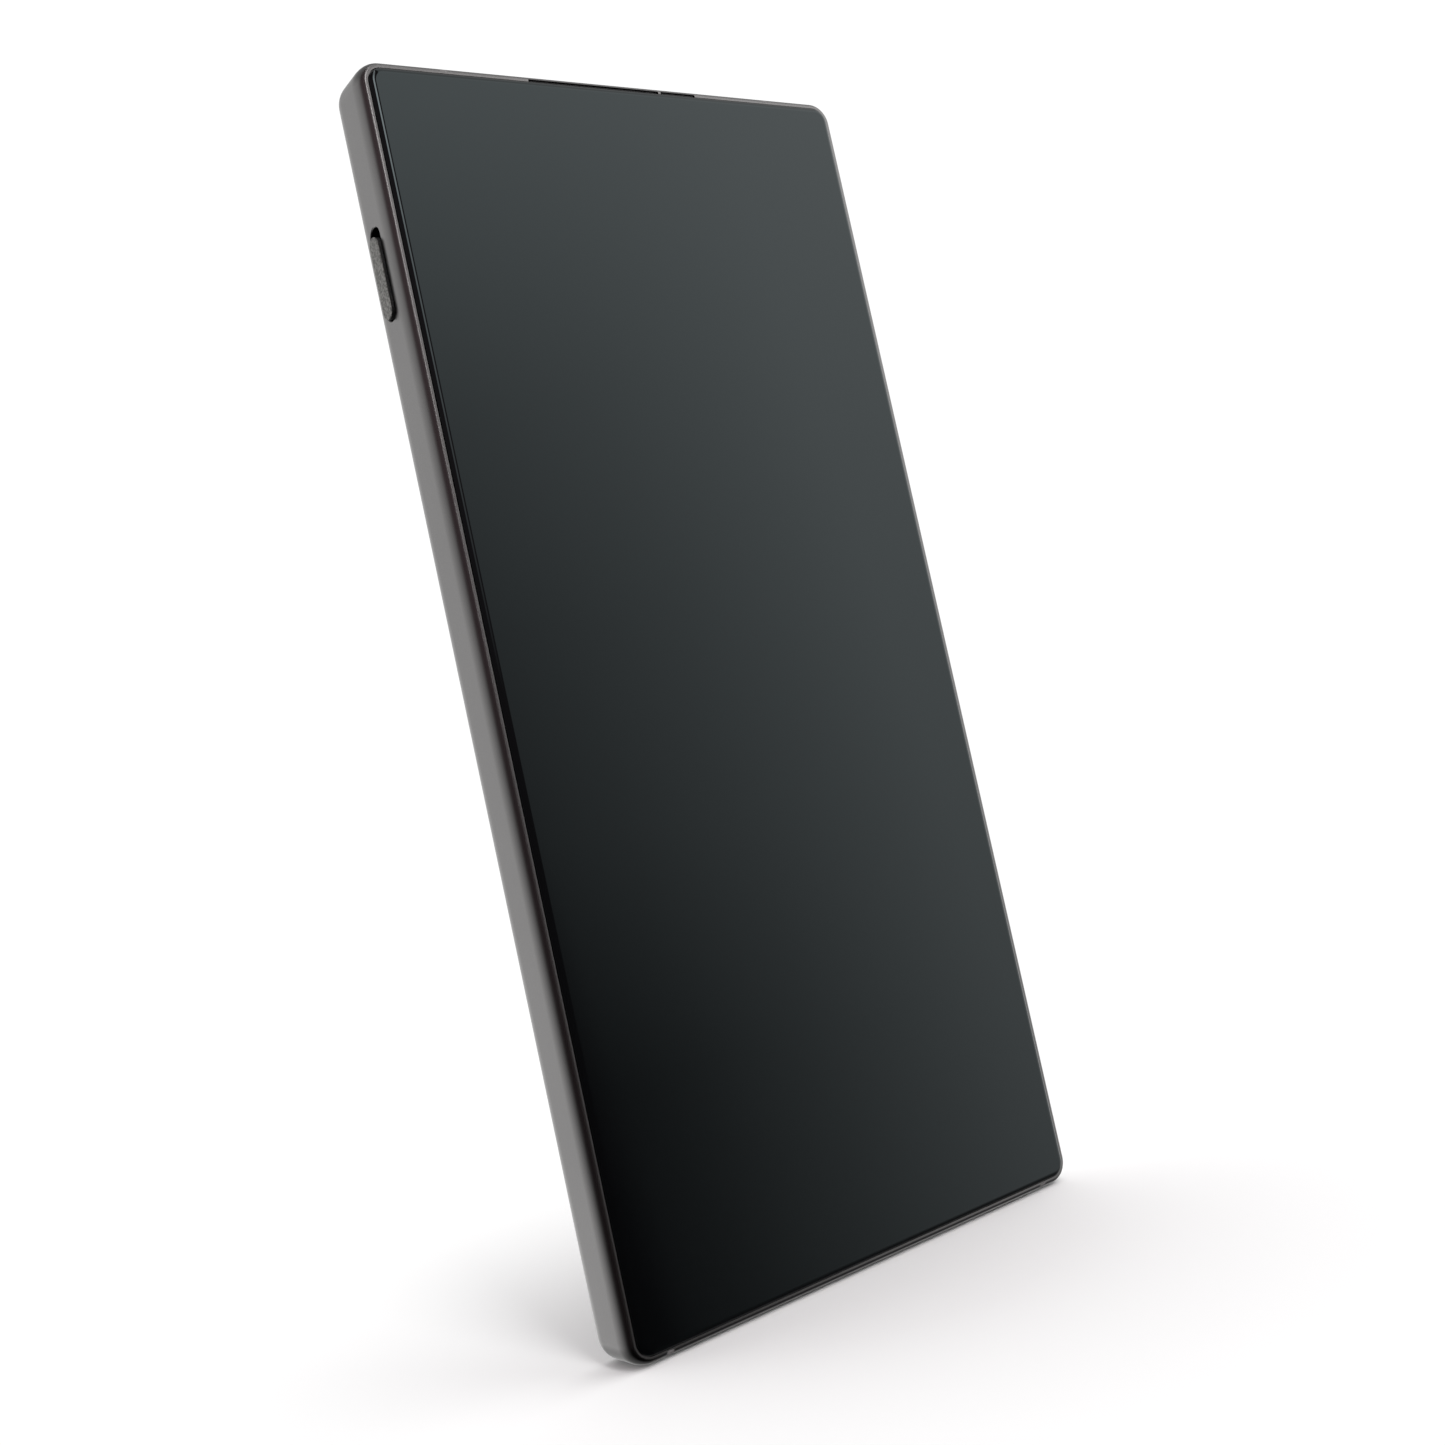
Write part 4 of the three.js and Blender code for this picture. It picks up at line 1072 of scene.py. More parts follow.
class PHONE_OT_antenna_inserts(bpy.types.Operator):
    """Builds the four plastic bands that break the metal frame"""

    bl_idname = "phone.antenna_inserts"
    bl_label = "Antenna inserts"

    def execute(self, context):
        for place in INSERTS:
            strip = combine(frame_blank(), [insert_block(place, 0.0)], "INTERSECT")
            strip = cut(strip, recess(mm(sizes().lip_width), FRONT_Y - REACH, BACK_Y + REACH))
            add_piece(
                f"antenna_band_{place}", strip, antenna_plastic(), "phone_body",
                "antenna_plastic", f"antenna_insert_{place}",
            )
        return {"FINISHED"}


# ---------------------------------------------------------------- covers


def cover_blank(low, high):
    """A cover's plain plate, with corners that keep an even gap to the frame."""
    radius = mm(sizes().corner_radius) - (HALF_WIDTH - high.x)
    return slab(
        high.x - low.x, high.z - low.z, radius, 0, MID_Z, low.y, high.y, sizes().render_steps,
    )


class PHONE_OT_front_glass(bpy.types.Operator):
    """Builds the front glass with its curved front edge"""

    bl_idname = "phone.front_glass"
    bl_label = "Front glass"

    def execute(self, context):
        size = sizes()
        arris = mm(size.glass_arris)
        glass = cover_blank(GLASS_LOW, GLASS_HIGH)
        round_rim(glass, GLASS_HIGH.y, arris, arris, 2)
        round_rim(glass, GLASS_LOW.y, mm(size.glass_across), mm(size.glass_deep), 12)
        add_piece(
            "front_glass", closed(glass), screen_glass(), "phone_body", "screen_glass",
            "cover_glass",
        )
        return {"FINISHED"}


DECK_GAP = 0.1
DECK_RADIUS = 6.0
DECK_SKIRT = 1.0
DECK_WALL = 3.0


class PHONE_OT_back_glass(bpy.types.Operator):
    """Builds the frosted back glass with its window for the camera deck"""

    bl_idname = "phone.back_glass"
    bl_label = "Back glass"

    def execute(self, context):
        middle = (DECK_LOW + DECK_HIGH) / 2
        middle.y = BACK_Y
        width = DECK_HIGH.x - DECK_LOW.x + 2 * DECK_GAP
        height = DECK_HIGH.z - DECK_LOW.z + 2 * DECK_GAP
        deep = COVER_HIGH.y - COVER_LOW.y + REACH
        bevel = mm(sizes().mouth_bevel)
        window = flared_tool(
            BACK, middle, width, height, DECK_RADIUS + DECK_GAP, deep, bevel, steps=12,
        )
        cover = cover_blank(COVER_LOW, COVER_HIGH)
        edge = mm(sizes().cover_edge)
        for level in (COVER_LOW.y, COVER_HIGH.y):
            round_rim(cover, level, edge, edge, 5)
        cover = cut(closed(cover), window)
        add_piece("rear_glass", cover, back_glass(), "phone_body", "back_glass", "back_cover")
        return {"FINISHED"}


# ---------------------------------------------------------------- cameras


RING_NECK = 0.6
RING_BORE_DEEP = 6.0
FLASH_BORE_DEEP = 1.85
FLASH_GAP = 0.05


def ring_place(camera):
    """The camera's centre across and up the phone, and its ring's and glass's radii."""
    low, high = node_box(f"lens_ring_{camera}")
    glass_low, glass_high = node_box(f"lens_glass_{camera}")
    middle = (low + high) / 2
    return middle.x, middle.z, (high.z - low.z) / 2, (glass_high.z - glass_low.z) / 2


class PHONE_OT_camera_deck(bpy.types.Operator):
    """Builds the raised metal deck that carries the cameras"""

    bl_idname = "phone.camera_deck"
    bl_label = "Camera deck"

    def execute(self, context):
        width, height = DECK_HIGH.x - DECK_LOW.x, DECK_HIGH.z - DECK_LOW.z
        middle = ((DECK_LOW.x + DECK_HIGH.x) / 2, (DECK_LOW.z + DECK_HIGH.z) / 2)
        foot, face = COVER_LOW.y, DECK_HIGH.y
        rounding = mm(sizes().deck_round)
        deck = slab(width, height, DECK_RADIUS, *middle, foot, face, 14)
        round_rim(deck, face, rounding, rounding, 6)
        skirt_in, well_in = 0.4, 0.3
        skirt_foot = Vector((middle[0], DECK_LOW.y, middle[1]))
        skirt = prism(
            BACK, skirt_foot, width - 2 * DECK_SKIRT, height - 2 * DECK_SKIRT,
            DECK_RADIUS - DECK_SKIRT, foot + skirt_in - DECK_LOW.y, 10,
        )
        inset = DECK_SKIRT + DECK_WALL
        well_foot = skirt_foot - Vector((0, REACH, 0))
        well = prism(
            BACK, well_foot, width - 2 * inset, height - 2 * inset,
            DECK_RADIUS - inset, foot + well_in + REACH - DECK_LOW.y, 8,
        )
        bores = []
        for camera in CAMERAS:
            x, z, _, glass = ring_place(camera)
            bore = 2 * (glass + RING_NECK)
            bores.append(flared_tool(
                BACK, (x, face, z), bore, bore, bore / 2, RING_BORE_DEEP, 0.08, steps=14,
            ))
        flash_low, flash_high = node_box("flash_lens")
        flash = (flash_low + flash_high) / 2
        bore = flash_high.x - flash_low.x + 2 * FLASH_GAP
        bores.append(flared_tool(
            BACK, (flash.x, face, flash.z), bore, bore, bore / 2, FLASH_BORE_DEEP, 0.1, steps=8,
        ))
        deck = cut(join(deck, skirt), well, *bores)
        add_piece(
            "camera_plateau", deck, anodised_metal(), "phone_body", "anodised_frame",
            "camera_deck",
        )
        return {"FINISHED"}


def ring_profile(ring, glass, foot, shelf, top):
    """The stepped section of a lens ring, with a bevelled crown and a polished inner slope."""
    neck = glass + 0.5
    return (
        (glass - 0.6, foot - 1.2),
        (neck, foot - 1.2),
        (neck, foot),
        (ring, foot),
        (ring, top - 0.55),
        (ring - 0.12, top - 0.25),
        (ring - 0.45, top),
        (ring - 1.3, top),
        (ring - 1.5, top - 0.08),
        (glass + 0.05, top - 0.2),
        (glass + 0.05, shelf),
        (glass - 0.6, shelf),
        (glass - 0.6, foot - 1.2),
    )


class PHONE_OT_lens_rings(bpy.types.Operator):
    """Builds the turned ring round each camera"""

    bl_idname = "phone.lens_rings"
    bl_label = "Lens rings"

    def execute(self, context):
        for camera in CAMERAS:
            x, z, ring, glass = ring_place(camera)
            low, high = node_box(f"lens_ring_{camera}")
            glass_low, _ = node_box(f"lens_glass_{camera}")
            profile = ring_profile(ring, glass, low.y + 1.2, glass_low.y - 0.02, high.y)
            shape = soften(turned(profile, x, z, 96), 0.05, steps=2, sharper_than=40)
            add_piece(
                f"turned_ring_{camera}", shape, turned_metal(camera), "phone_body", "lens_ring",
                f"lens_ring_{camera}",
            )
        return {"FINISHED"}


class PHONE_OT_lens_windows(bpy.types.Operator):
    """Builds the clear window over each camera"""

    bl_idname = "phone.lens_windows"
    bl_label = "Lens windows"

    def execute(self, context):
        for camera in CAMERAS:
            x, z, _, radius = ring_place(camera)
            low, high = node_box(f"lens_glass_{camera}")
            profile = (
                (0.0, low.y), (radius - 0.1, low.y), (radius, low.y + 0.1),
                (radius, high.y - 0.12), (radius - 0.04, high.y - 0.04), (radius - 0.12, high.y),
                (0.0, high.y),
            )
            add_piece(
                f"lens_window_{camera}", turned(profile, x, z, 64), lens_glass(), "phone_body",
                "lens_glass", f"lens_glass_{camera}",
            )
        return {"FINISHED"}


def barrel_profile(radius, foot, top):
    """A barrel with stepped light baffles that go down to its front element."""
    steps = 5
    mouth, throat = 0.86 * radius, 0.5 * radius
    sink = 1.1
    points = [(0.0, foot), (radius, foot), (radius, top - 0.25), (radius - 0.1, top - 0.08)]
    points += [(radius - 0.25, top), (mouth, top)]
    for step in range(steps):
        start = mouth + (throat - mouth) * step / steps
        end = mouth + (throat - mouth) * (step + 1) / steps
        depth = top - sink * (step + 1) / steps
        points += [(start, depth), (end, depth)]
    points += [(throat, top - sink - 0.4), (0.0, top - sink - 0.4)]
    return points


class PHONE_OT_lens_barrels(bpy.types.Operator):
    """Builds each moving lens barrel and its coated front element"""

    bl_idname = "phone.lens_barrels"
    bl_label = "Lens barrels"

    def execute(self, context):
        for camera, body in CAMERAS.items():
            x, z, _, _ = ring_place(camera)
            low, high = node_box(f"lens_barrel_{camera}")
            radius = (high.z - low.z) / 2
            shape = turned(barrel_profile(radius, low.y, high.y), x, z, 64)
            add_piece(
                f"focus_barrel_{camera}", shape, baffle_paint(), body, "black_plastic",
                f"lens_barrel_{camera}",
            )
            rim, base = 0.495 * radius, high.y - 1.49
            edge_tall, crown, steps = 0.2, 0.55, 8
            arc = [
                (rim * math.cos(turn), base + edge_tall + crown * math.sin(turn))
                for turn in (math.pi / 2 * step / steps for step in range(steps + 1))
            ]
            dome = [(0.0, base), (rim, base), *arc]
            dome[-1] = (0.0, dome[-1][1])
            add_piece(
                f"front_element_{camera}", turned(dome, x, z, 48), coated_element(), body,
                "lens_glass",
            )
        return {"FINISHED"}


class PHONE_OT_flash(bpy.types.Operator):
    """Builds the flash window with its ring-cut lens and the light source behind it"""

    bl_idname = "phone.flash"
    bl_label = "Flash"

    def execute(self, context):
        low, high = node_box("flash_lens")
        x, z = (low.x + high.x) / 2, (low.z + high.z) / 2
        radius = (high.x - low.x) / 2
        ridges, ridge_tall, bevel, rim = 6, 0.1, 0.08, 0.25
        under = low.y + 0.9
        profile = [(radius, under), (radius, high.y - bevel), (radius - bevel, high.y)]
        pitch = (radius - rim) / ridges
        profile.append((radius - rim, high.y))
        for ridge in range(ridges):
            outer = radius - rim - ridge * pitch
            profile += [(outer, high.y - ridge_tall), (max(outer - pitch, 0.0), high.y)]
        window = [(0.0, under), *profile]
        add_piece(
            "flash_window", turned(window, x, z, 48), flash_plastic(), "phone_body", "flash_lens",
            "flash_lens",
        )
        half, thick = 0.55 * radius, 0.35
        source = block((x - half, low.y, z - half), (x + half, low.y + thick, z + half))
        source = soften(source, 0.05)
        add_piece("flash_source", source, flash_phosphor(), "phone_body", "flash_lens")
        return {"FINISHED"}


# ---------------------------------------------------------------- switch and keys


KEY_CLEARANCE = 0.15
FLANGE_THICK = 0.6
FLANGE_INTO_KEY = 0.05


def key_seat():
    """How far out from the phone's middle a key's bar meets its flange."""
    return HALF_WIDTH - mm(sizes().wall) - KEY_CLEARANCE


def key_bar(node, turn, side, rounding):
    """A key's proud bar, rounded at its outer edge, with its middle and its foot's place."""
    low, high = node_box(node)
    y, z = (low.y + high.y) / 2, (low.z + high.z) / 2
    width, span = mm(sizes().key_width), key_length(node)
    outer = max(abs(low.x), abs(high.x))
    seat = key_seat()
    bar = prism(turn, (side * seat, y, z), width, span, width / 2, outer - seat, 12)
    rims = [
        edge for edge in bar.edges
        if all(abs(abs(vert.co.x) - outer) < FLAT for vert in edge.verts)
    ]
    bmesh.ops.bevel(
        bar, geom=rims, offset=mm(rounding), segments=5, profile=0.5, affect="EDGES",
        material=-1,
    )
    return bar, y, z, seat


def flange(node, turn, side, span):
    """The wide plate behind a key, inside the wall."""
    low, high = node_box(node)
    y, z = (low.y + high.y) / 2, (low.z + high.z) / 2
    back = side * (key_seat() - FLANGE_THICK)
    thick = FLANGE_THICK + FLANGE_INTO_KEY
    return prism(turn, (back, y, z), high.y - low.y, span, 0.5, thick, 4)


class PHONE_OT_slide_switch(bpy.types.Operator):
    """Builds the gritty cap of the slide switch"""

    bl_idname = "phone.slide_switch"
    bl_label = "Slide switch"

    def execute(self, context):
        node = "slide_switch_cap"
        bar, y, z, seat = key_bar(node, LEFT, -1, sizes().cap_round)
        low, high = node_box(node)
        plate = flange(node, LEFT, -1, high.z - low.z)
        half_wide, half_span = 0.7, 1.0
        tongue = block(
            (-seat, y - half_wide, z - half_span), (high.x, y + half_wide, z + half_span),
        )
        cap = join(bar, plate, tongue)
        add_piece("switch_cap", cap, gritty_cap(), "slide_switch", "switch_cap", node)
        return {"FINISHED"}


class PHONE_OT_side_keys(bpy.types.Operator):
    """Builds the power key and the volume rocker"""

    bl_idname = "phone.side_keys"
    bl_label = "Side keys"

    def execute(self, context):
        bar, *_ = key_bar("power_key", RIGHT, 1, sizes().key_round)
        low, high = node_box("power_key")
        key = join(bar, flange("power_key", RIGHT, 1, high.z - low.z))
        add_piece("power_bar", key, anodised_metal(), "power_key", "anodised_frame", "power_key")

        bar, y, z, seat = key_bar("volume_rocker", RIGHT, 1, sizes().key_round)
        reach, half_foot, foot_span, flange_span = 6.5, 0.7, 0.8, 7.0
        low, high = node_box("volume_rocker")
        feet = [
            block(
                (low.x, y - half_foot, z + way * reach - foot_span),
                (seat + FLANGE_INTO_KEY, y + half_foot, z + way * reach + foot_span),
            )
            for way in (-1, 1)
        ]
        rocker = join(bar, flange("volume_rocker", RIGHT, 1, flange_span), *feet)
        add_piece(
            "volume_bar", rocker, anodised_metal(), "volume_rocker", "anodised_frame",
            "volume_rocker",
        )
        return {"FINISHED"}


# ---------------------------------------------------------------- card tray, socket and meshes


class PHONE_OT_card_tray(bpy.types.Operator):
    """Builds the card tray with its face, pockets and pin hole"""

    bl_idname = "phone.card_tray"
    bl_label = "Card tray"

    def execute(self, context):
        low, high = node_box("sim_tray")
        x, y = (low.x + high.x) / 2, edge_line()
        width, tall = TRAY_FACE
        face_deep = 1.3
        face = prism(TOP, (x, y, low.z), width, tall, tall / 2, face_deep - low.z, 10)
        rims = [edge for edge in face.edges if all(vert.co.z < low.z + FLAT for vert in edge.verts)]
        bmesh.ops.bevel(
            face, geom=rims, offset=0.12, segments=3, profile=0.5, affect="EDGES", material=-1,
        )
        half, thick = 6.9, 0.5
        carrier = soften(
            block((x - half, y - thick, face_deep - 0.2), (x + half, y + thick, high.z)),
            0.15, steps=3,
        )
        pockets = []
        for side in (-1, 1):
            turn = BACK if side > 0 else FRONT
            centre = (x - 1.7, y + side * thick, 13.75)
            card_wide, card_tall, rounding, deep = 9.0, 12.5, 0.8, 0.35
            pockets.append(flared_tool(
                turn, centre, card_wide, card_tall, rounding, deep, 0.06, steps=4,
            ))
        pin_wide, pin_deep = 0.8, 1.0
        pin = flared_tool(
            BOTTOM, (x + 6, y, low.z), pin_wide, pin_wide, pin_wide / 2, pin_deep, 0.08, steps=6,
        )
        tray = cut(join(face, carrier), *pockets, pin)
        add_piece("card_tray", tray, anodised_metal(), "sim_tray", "anodised_frame", "sim_tray")
        return {"FINISHED"}


class PHONE_OT_charging_socket(bpy.types.Operator):
    """Builds the charging socket's steel shell, its tongue and its contacts"""

    bl_idname = "phone.charging_socket"
    bl_label = "Charging socket"

    def execute(self, context):
        low, high = node_box("usb_shell")
        y = edge_line()
        width, tall = high.x - low.x, high.y - low.y
        wall = 0.3
        shell = prism(TOP, (0, y, low.z), width, tall, tall / 2, high.z - low.z, 12)
        bore = flared_tool(
            BOTTOM, (0, y, low.z), width - 2 * wall, tall - 2 * wall, tall / 2 - wall,
            high.z - low.z - 0.6, 0.12, steps=12,
        )
        add_piece(
            "socket_shell", cut(shell, bore), stainless(), "phone_body", "stainless", "usb_shell",
        )

        low, high = node_box("usb_tongue")
        tongue = soften(block(low, high), 0.08, steps=3)
        add_piece(
            "socket_tongue", tongue, black_plastic(), "phone_body", "black_plastic", "usb_tongue",
        )
        contacts, pitch, half = 12, 0.5, 0.12
        strips = bmesh.new()
        for side in (low.y, high.y):
            for contact in range(contacts):
                x = (contact - (contacts - 1) / 2) * pitch
                size = Matrix.Diagonal((2 * half, 0.03, high.z - low.z - 0.8, 1))
                middle = Matrix.Translation((x, side, (low.z + high.z) / 2 + 0.1))
                bmesh.ops.create_cube(strips, size=1.0, matrix=middle @ size)
        add_piece("socket_contacts", strips, gold_contact(), "phone_body", "copper")
        return {"FINISHED"}


class PHONE_OT_sound_meshes(bpy.types.Operator):
    """Builds the meshes over the earpiece and the loudspeaker, and the light guide"""

    bl_idname = "phone.sound_meshes"
    bl_label = "Sound meshes"

    def execute(self, context):
        pieces = (
            ("earpiece_weave", "earpiece_mesh", woven_mesh(), "woven_mesh"),
            ("light_guide", "sensor_light_guide", black_plastic(), "black_plastic"),
            ("loudspeaker_weave", "loudspeaker_mesh", woven_mesh(), "woven_mesh"),
        )
        for name, node, material, slot in pieces:
            low, high = node_box(node)
            plate = soften(block(low, high), 0.04, steps=3)
            add_piece(name, plate, material, "phone_body", slot, node)
        return {"FINISHED"}


# ---------------------------------------------------------------- inner parts


class PHONE_OT_inner_parts(bpy.types.Operator):
    """Gives every carried-over part its finish"""

    bl_idname = "phone.inner_parts"
    bl_label = "Inner parts"

    def execute(self, context):
        for entry in frame["record"]["subparts"]:
            name, slot = entry["node"], entry["material_slot"]
            if slot in SLOT_FINISH:
                for place in frame["nodes"][name].material_slots:
                    place.material = SLOT_FINISH[slot]()
        return {"FINISHED"}


# ---------------------------------------------------------------- stage


def turn_of(tree, direction):
    """The direction's turn about the upright axis, in degrees from straight in front."""
    parts = add_node(tree, "ShaderNodeSeparateXYZ", {"Vector": direction}).outputs
    turn = maths(tree, "ARCTAN2", parts["X"], maths(tree, "MULTIPLY", parts["Y"], -1.0))
    return maths(tree, "DEGREES", turn), parts["Z"]


def scaled(tree, colours, by):
    """A colour made brighter or darker by a plain number."""
    return add_node(
        tree, "ShaderNodeVectorMath", {0: colours, "Scale": by}, operation="SCALE",
    ).outputs["Vector"]


def ramp(tree, value, low, high, stops):
    """A ramp of brightness over a value, from stops given in the value's own units."""
    share = map_range(tree, value, low, high, 0.0, 1.0)
    node = add_node(tree, "ShaderNodeValToRGB", {"Fac": share})
    entries = node.color_ramp.elements
    entries.remove(entries[1])
    for place, bright in stops[1:]:
        entries.new((place - low) / (high - low)).color = opaque((bright,) * 3)
    entries[0].position = 0.0
    entries[0].color = opaque((stops[0][1],) * 3)
    return node.outputs["Color"]


ROOM_TURN = (
    (-180, 1.0), (-158, 1.0), (-139, 0.78), (-112, 0.2), (28.6, 0.13), (31.0, 0.25), (35.0, 0.5),
    (42.0, 1.0), (180, 1.0),
)
DARK_TURN = (
    (-180, 1.0), (-112, 1.0), (-95, 0.0), (27.4, 0.0), (28.2, 1.0), (180, 1.0),
)
ROOM_HEIGHT = (
    (-1.0, 0.0), (-0.15, 0.0), (0.0, 0.2), (0.13, 0.28), (0.26, 0.45), (0.43, 0.88), (0.6, 1.0),
    (1.0, 1.0),
)
GLOSS_HEIGHT = (
    (-1.0, 0.12), (-0.7, 0.16), (-0.45, 0.6), (-0.38, 1.0), (0.5, 1.0), (0.75, 0.42), (1.0, 0.36),
)
DARK_ROOM = (0.12, 0.088, 0.095, 1.0)
DARK_HEIGHT = ((-1.0, 0.0), (-0.3, 0.12), (0.0, 0.45), (0.25, 1.0), (1.0, 1.0))
BLACK = (0.0, 0.0, 0.0, 1.0)
WHITE = (1.0, 1.0, 1.0, 1.0)
STRIP_TURN = ((-180, 0.0), (-10.0, 0.0), (-7.0, 1.0), (8.0, 1.0), (13.0, 0.0), (180, 0.0))
STRIP_HEIGHT = ((-1.0, 0.0), (0.1, 0.0), (0.25, 0.2), (0.36, 0.5), (0.43, 1.0), (1.0, 1.0))
STRIP_LIGHT = 3.0
WEDGE_LEAN = 6.0
WHITE_LEVEL = 1.05
FLOOR_HALF = 4.0
FLOOR_FADE = (0.03, 0.11)


def studio_world(bright):
    """A white studio whose one dark side is the unlit room in front and to the left.

    The camera itself sees plain white.
    """
    world = bpy.data.worlds.new("studio")
    world.use_nodes = True
    tree = world.node_tree
    tree.nodes.clear()
    direction = add_node(tree, "ShaderNodeTexCoord").outputs["Generated"]
    turn, height = turn_of(tree, direction)
    leaned = maths(tree, "MULTIPLY_ADD", height, WEDGE_LEAN, turn)
    around = ramp(tree, leaned, -180, 180, ROOM_TURN)
    above = ramp(tree, height, -1.0, 1.0, ROOM_HEIGHT)
    lit = mix_colour(tree, 1.0, around, above, blend="SCREEN")
    open_side = ramp(tree, leaned, -180, 180, DARK_TURN)
    unlit = mix_colour(tree, ramp(tree, height, -1.0, 1.0, DARK_HEIGHT), BLACK, DARK_ROOM)
    lit = mix_colour(tree, open_side, unlit, lit)
    strip = mix_colour(
        tree, 1.0, ramp(tree, leaned, -180, 180, STRIP_TURN),
        ramp(tree, height, -1.0, 1.0, STRIP_HEIGHT), blend="MULTIPLY",
    )
    lit = mix_colour(tree, 1.0, lit, scaled(tree, strip, STRIP_LIGHT), blend="ADD")
    rays = add_node(tree, "ShaderNodeLightPath").outputs
    mirrored = ramp(tree, height, -1.0, 1.0, GLOSS_HEIGHT)
    mirrored = mix_colour(tree, rays["Is Glossy Ray"], WHITE, mirrored)
    lit = mix_colour(tree, 1.0, lit, mirrored, blend="MULTIPLY")
    front_light = map_range(tree, height, -1.0, 1.0, 0.0, 2 * bright)
    back_light = map_range(tree, height, -1.0, 1.0, 1.3 * bright, 0.7 * bright)
    parts = add_node(tree, "ShaderNodeSeparateXYZ", {"Vector": direction}).outputs
    behind = map_range(tree, parts["Y"], -0.2, 0.3, 0.0, 1.0)
    strength = add_node(tree, "ShaderNodeMix", data_type="FLOAT")
    tree.links.new(behind, strength.inputs[0])
    tree.links.new(front_light, strength.inputs[2])
    tree.links.new(back_light, strength.inputs[3])
    room = add_node(
        tree, "ShaderNodeBackground", {"Color": lit, "Strength": strength.outputs[0]},
    )
    plain = add_node(
        tree, "ShaderNodeBackground", {"Color": WHITE, "Strength": WHITE_LEVEL},
    )
    both = add_node(
        tree, "ShaderNodeMixShader",
        {
            0: rays["Is Camera Ray"], 1: room.outputs["Background"],
            2: plain.outputs["Background"],
        },
    )
    output = tree.nodes.new("ShaderNodeOutputWorld")
    tree.links.new(both.outputs["Shader"], output.inputs["Surface"])
    bpy.context.scene.world = world


def pale_floor(rgb):
    """A white sweep under the phone: only the ground close to it takes its shadow."""
    mesh = bpy.data.meshes.new("floor")
    shape = bmesh.new()
    bmesh.ops.create_grid(shape, x_segments=1, y_segments=1, size=FLOOR_HALF)
    shape.to_mesh(mesh)
    shape.free()
    floor = bpy.data.objects.new("floor", mesh)
    bpy.context.scene.collection.objects.link(floor)
    material, tree = new_material(Roughness=0.9, Specular_IOR_Level=0.0)
    material.name = "floor_paint"
    places = object_coordinates(tree)
    away = add_node(tree, "ShaderNodeVectorMath", {0: places}, operation="LENGTH").outputs["Value"]
    dress(material, shades(tree, noise(tree, places, 8.0), rgb, 0.99, 1.0))
    glow = add_node(
        tree, "ShaderNodeEmission", {"Color": WHITE, "Strength": WHITE_LEVEL},
    )
    faded = map_range(tree, away, *FLOOR_FADE, 0.0, 1.0)
    paint = tree.nodes["Principled BSDF"].outputs["BSDF"]
    surface = add_node(
        tree, "ShaderNodeMixShader", {0: faded, 1: paint, 2: glow.outputs["Emission"]},
    )
    output = tree.nodes["Material Output"]
    tree.links.new(surface.outputs["Shader"], output.inputs["Surface"])
    mesh.materials.append(material)
    floor.visible_glossy = False


def studio_camera(stage):
    """The camera, from its turn, height, roll and distance about the point it looks at."""
    data = bpy.data.cameras.new("camera")
    data.lens = stage.lens
    data.sensor_width = 36.0
    data.clip_start = 0.005
    data.clip_end = 50.0
    camera = bpy.data.objects.new("camera", data)
    bpy.context.scene.collection.objects.link(camera)
    around, up = stage.azimuth, stage.elevation
    back = Vector((math.sin(around) * math.cos(up), -math.cos(around) * math.cos(up), math.sin(up)))
    level_right = (-back).cross(Vector((0, 0, 1))).normalized()
    level_up = level_right.cross(-back)
    cosine, sine = math.cos(stage.roll), math.sin(stage.roll)
    right = cosine * level_right - sine * level_up
    upward = sine * level_right + cosine * level_up
    turn = Matrix((right, upward, back)).transposed().to_4x4()
    camera.matrix_world = Matrix.Translation(Vector(stage.aim) + back * stage.distance) @ turn
    bpy.context.scene.camera = camera


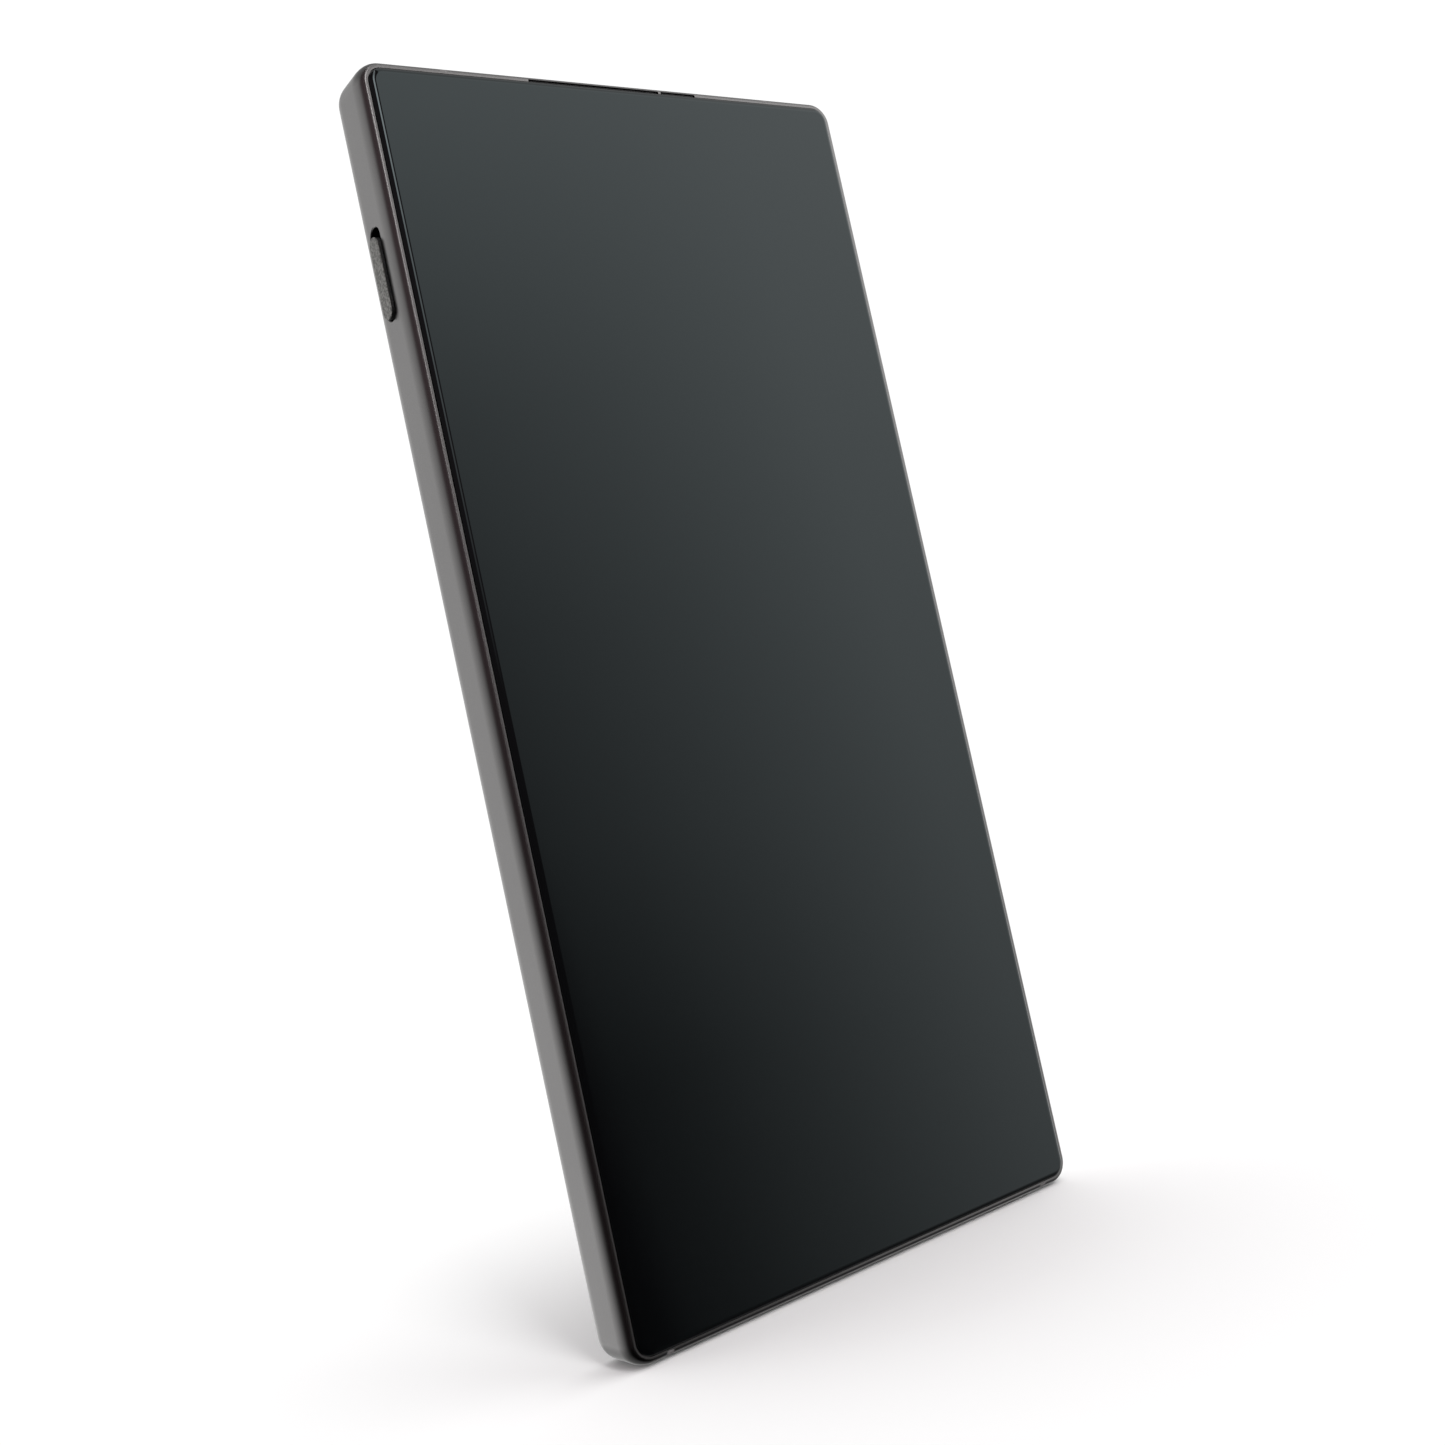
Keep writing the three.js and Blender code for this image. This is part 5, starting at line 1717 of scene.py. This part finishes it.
class PHONE_OT_stage(bpy.types.Operator):
    """Sets up the camera, the pale floor and the studio light"""

    bl_idname = "phone.stage"
    bl_label = "Stage"

    def execute(self, context):
        stage = context.scene.phone_stage
        studio_camera(stage)
        studio_world(stage.backdrop_light)
        pale_floor(stage.floor)
        context.scene.view_settings.view_transform = "Standard"
        return {"FINISHED"}


# ---------------------------------------------------------------- panel and registration

OPERATORS = (
    PHONE_OT_stage,
    PHONE_OT_inner_parts,
    PHONE_OT_frame_band,
    PHONE_OT_antenna_inserts,
    PHONE_OT_front_glass,
    PHONE_OT_back_glass,
    PHONE_OT_camera_deck,
    PHONE_OT_lens_rings,
    PHONE_OT_lens_windows,
    PHONE_OT_lens_barrels,
    PHONE_OT_flash,
    PHONE_OT_slide_switch,
    PHONE_OT_side_keys,
    PHONE_OT_card_tray,
    PHONE_OT_charging_socket,
    PHONE_OT_sound_meshes,
)
SETTINGS = {
    "phone_sizes": PhoneSizes,
    "phone_finishes": PhoneFinishes,
    "phone_stage": PhoneStage,
}


class PHONE_PT_panel(bpy.types.Panel):
    """Lists the phone's settings and the steps that build it"""

    bl_idname = "PHONE_PT_panel"
    bl_label = "Slab smartphone"
    bl_space_type = "VIEW_3D"
    bl_region_type = "UI"
    bl_category = "Phone"

    def draw(self, context):
        for name, group in SETTINGS.items():
            box = self.layout.box()
            for key in group.__annotations__:
                box.prop(getattr(context.scene, name), key)
        for operator in OPERATORS:
            self.layout.operator(operator.bl_idname)


def register():
    for group in SETTINGS.values():
        bpy.utils.register_class(group)
    for name, group in SETTINGS.items():
        setattr(bpy.types.Scene, name, PointerProperty(type=group))
    for operator in OPERATORS:
        bpy.utils.register_class(operator)
    bpy.utils.register_class(PHONE_PT_panel)


def unregister():
    bpy.utils.unregister_class(PHONE_PT_panel)
    for operator in reversed(OPERATORS):
        bpy.utils.unregister_class(operator)
    for name, group in SETTINGS.items():
        delattr(bpy.types.Scene, name)
        bpy.utils.unregister_class(group)


def plain(corners):
    """Corners as lists that a file can hold."""
    return [[float(part) for part in corner] for corner in corners]


def main():
    """Registers the add-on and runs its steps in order."""
    register()
    for operator in OPERATORS:
        family, step = operator.bl_idname.split(".")
        getattr(getattr(bpy.ops, family), step)()


if __name__ == "__main__":
    main()
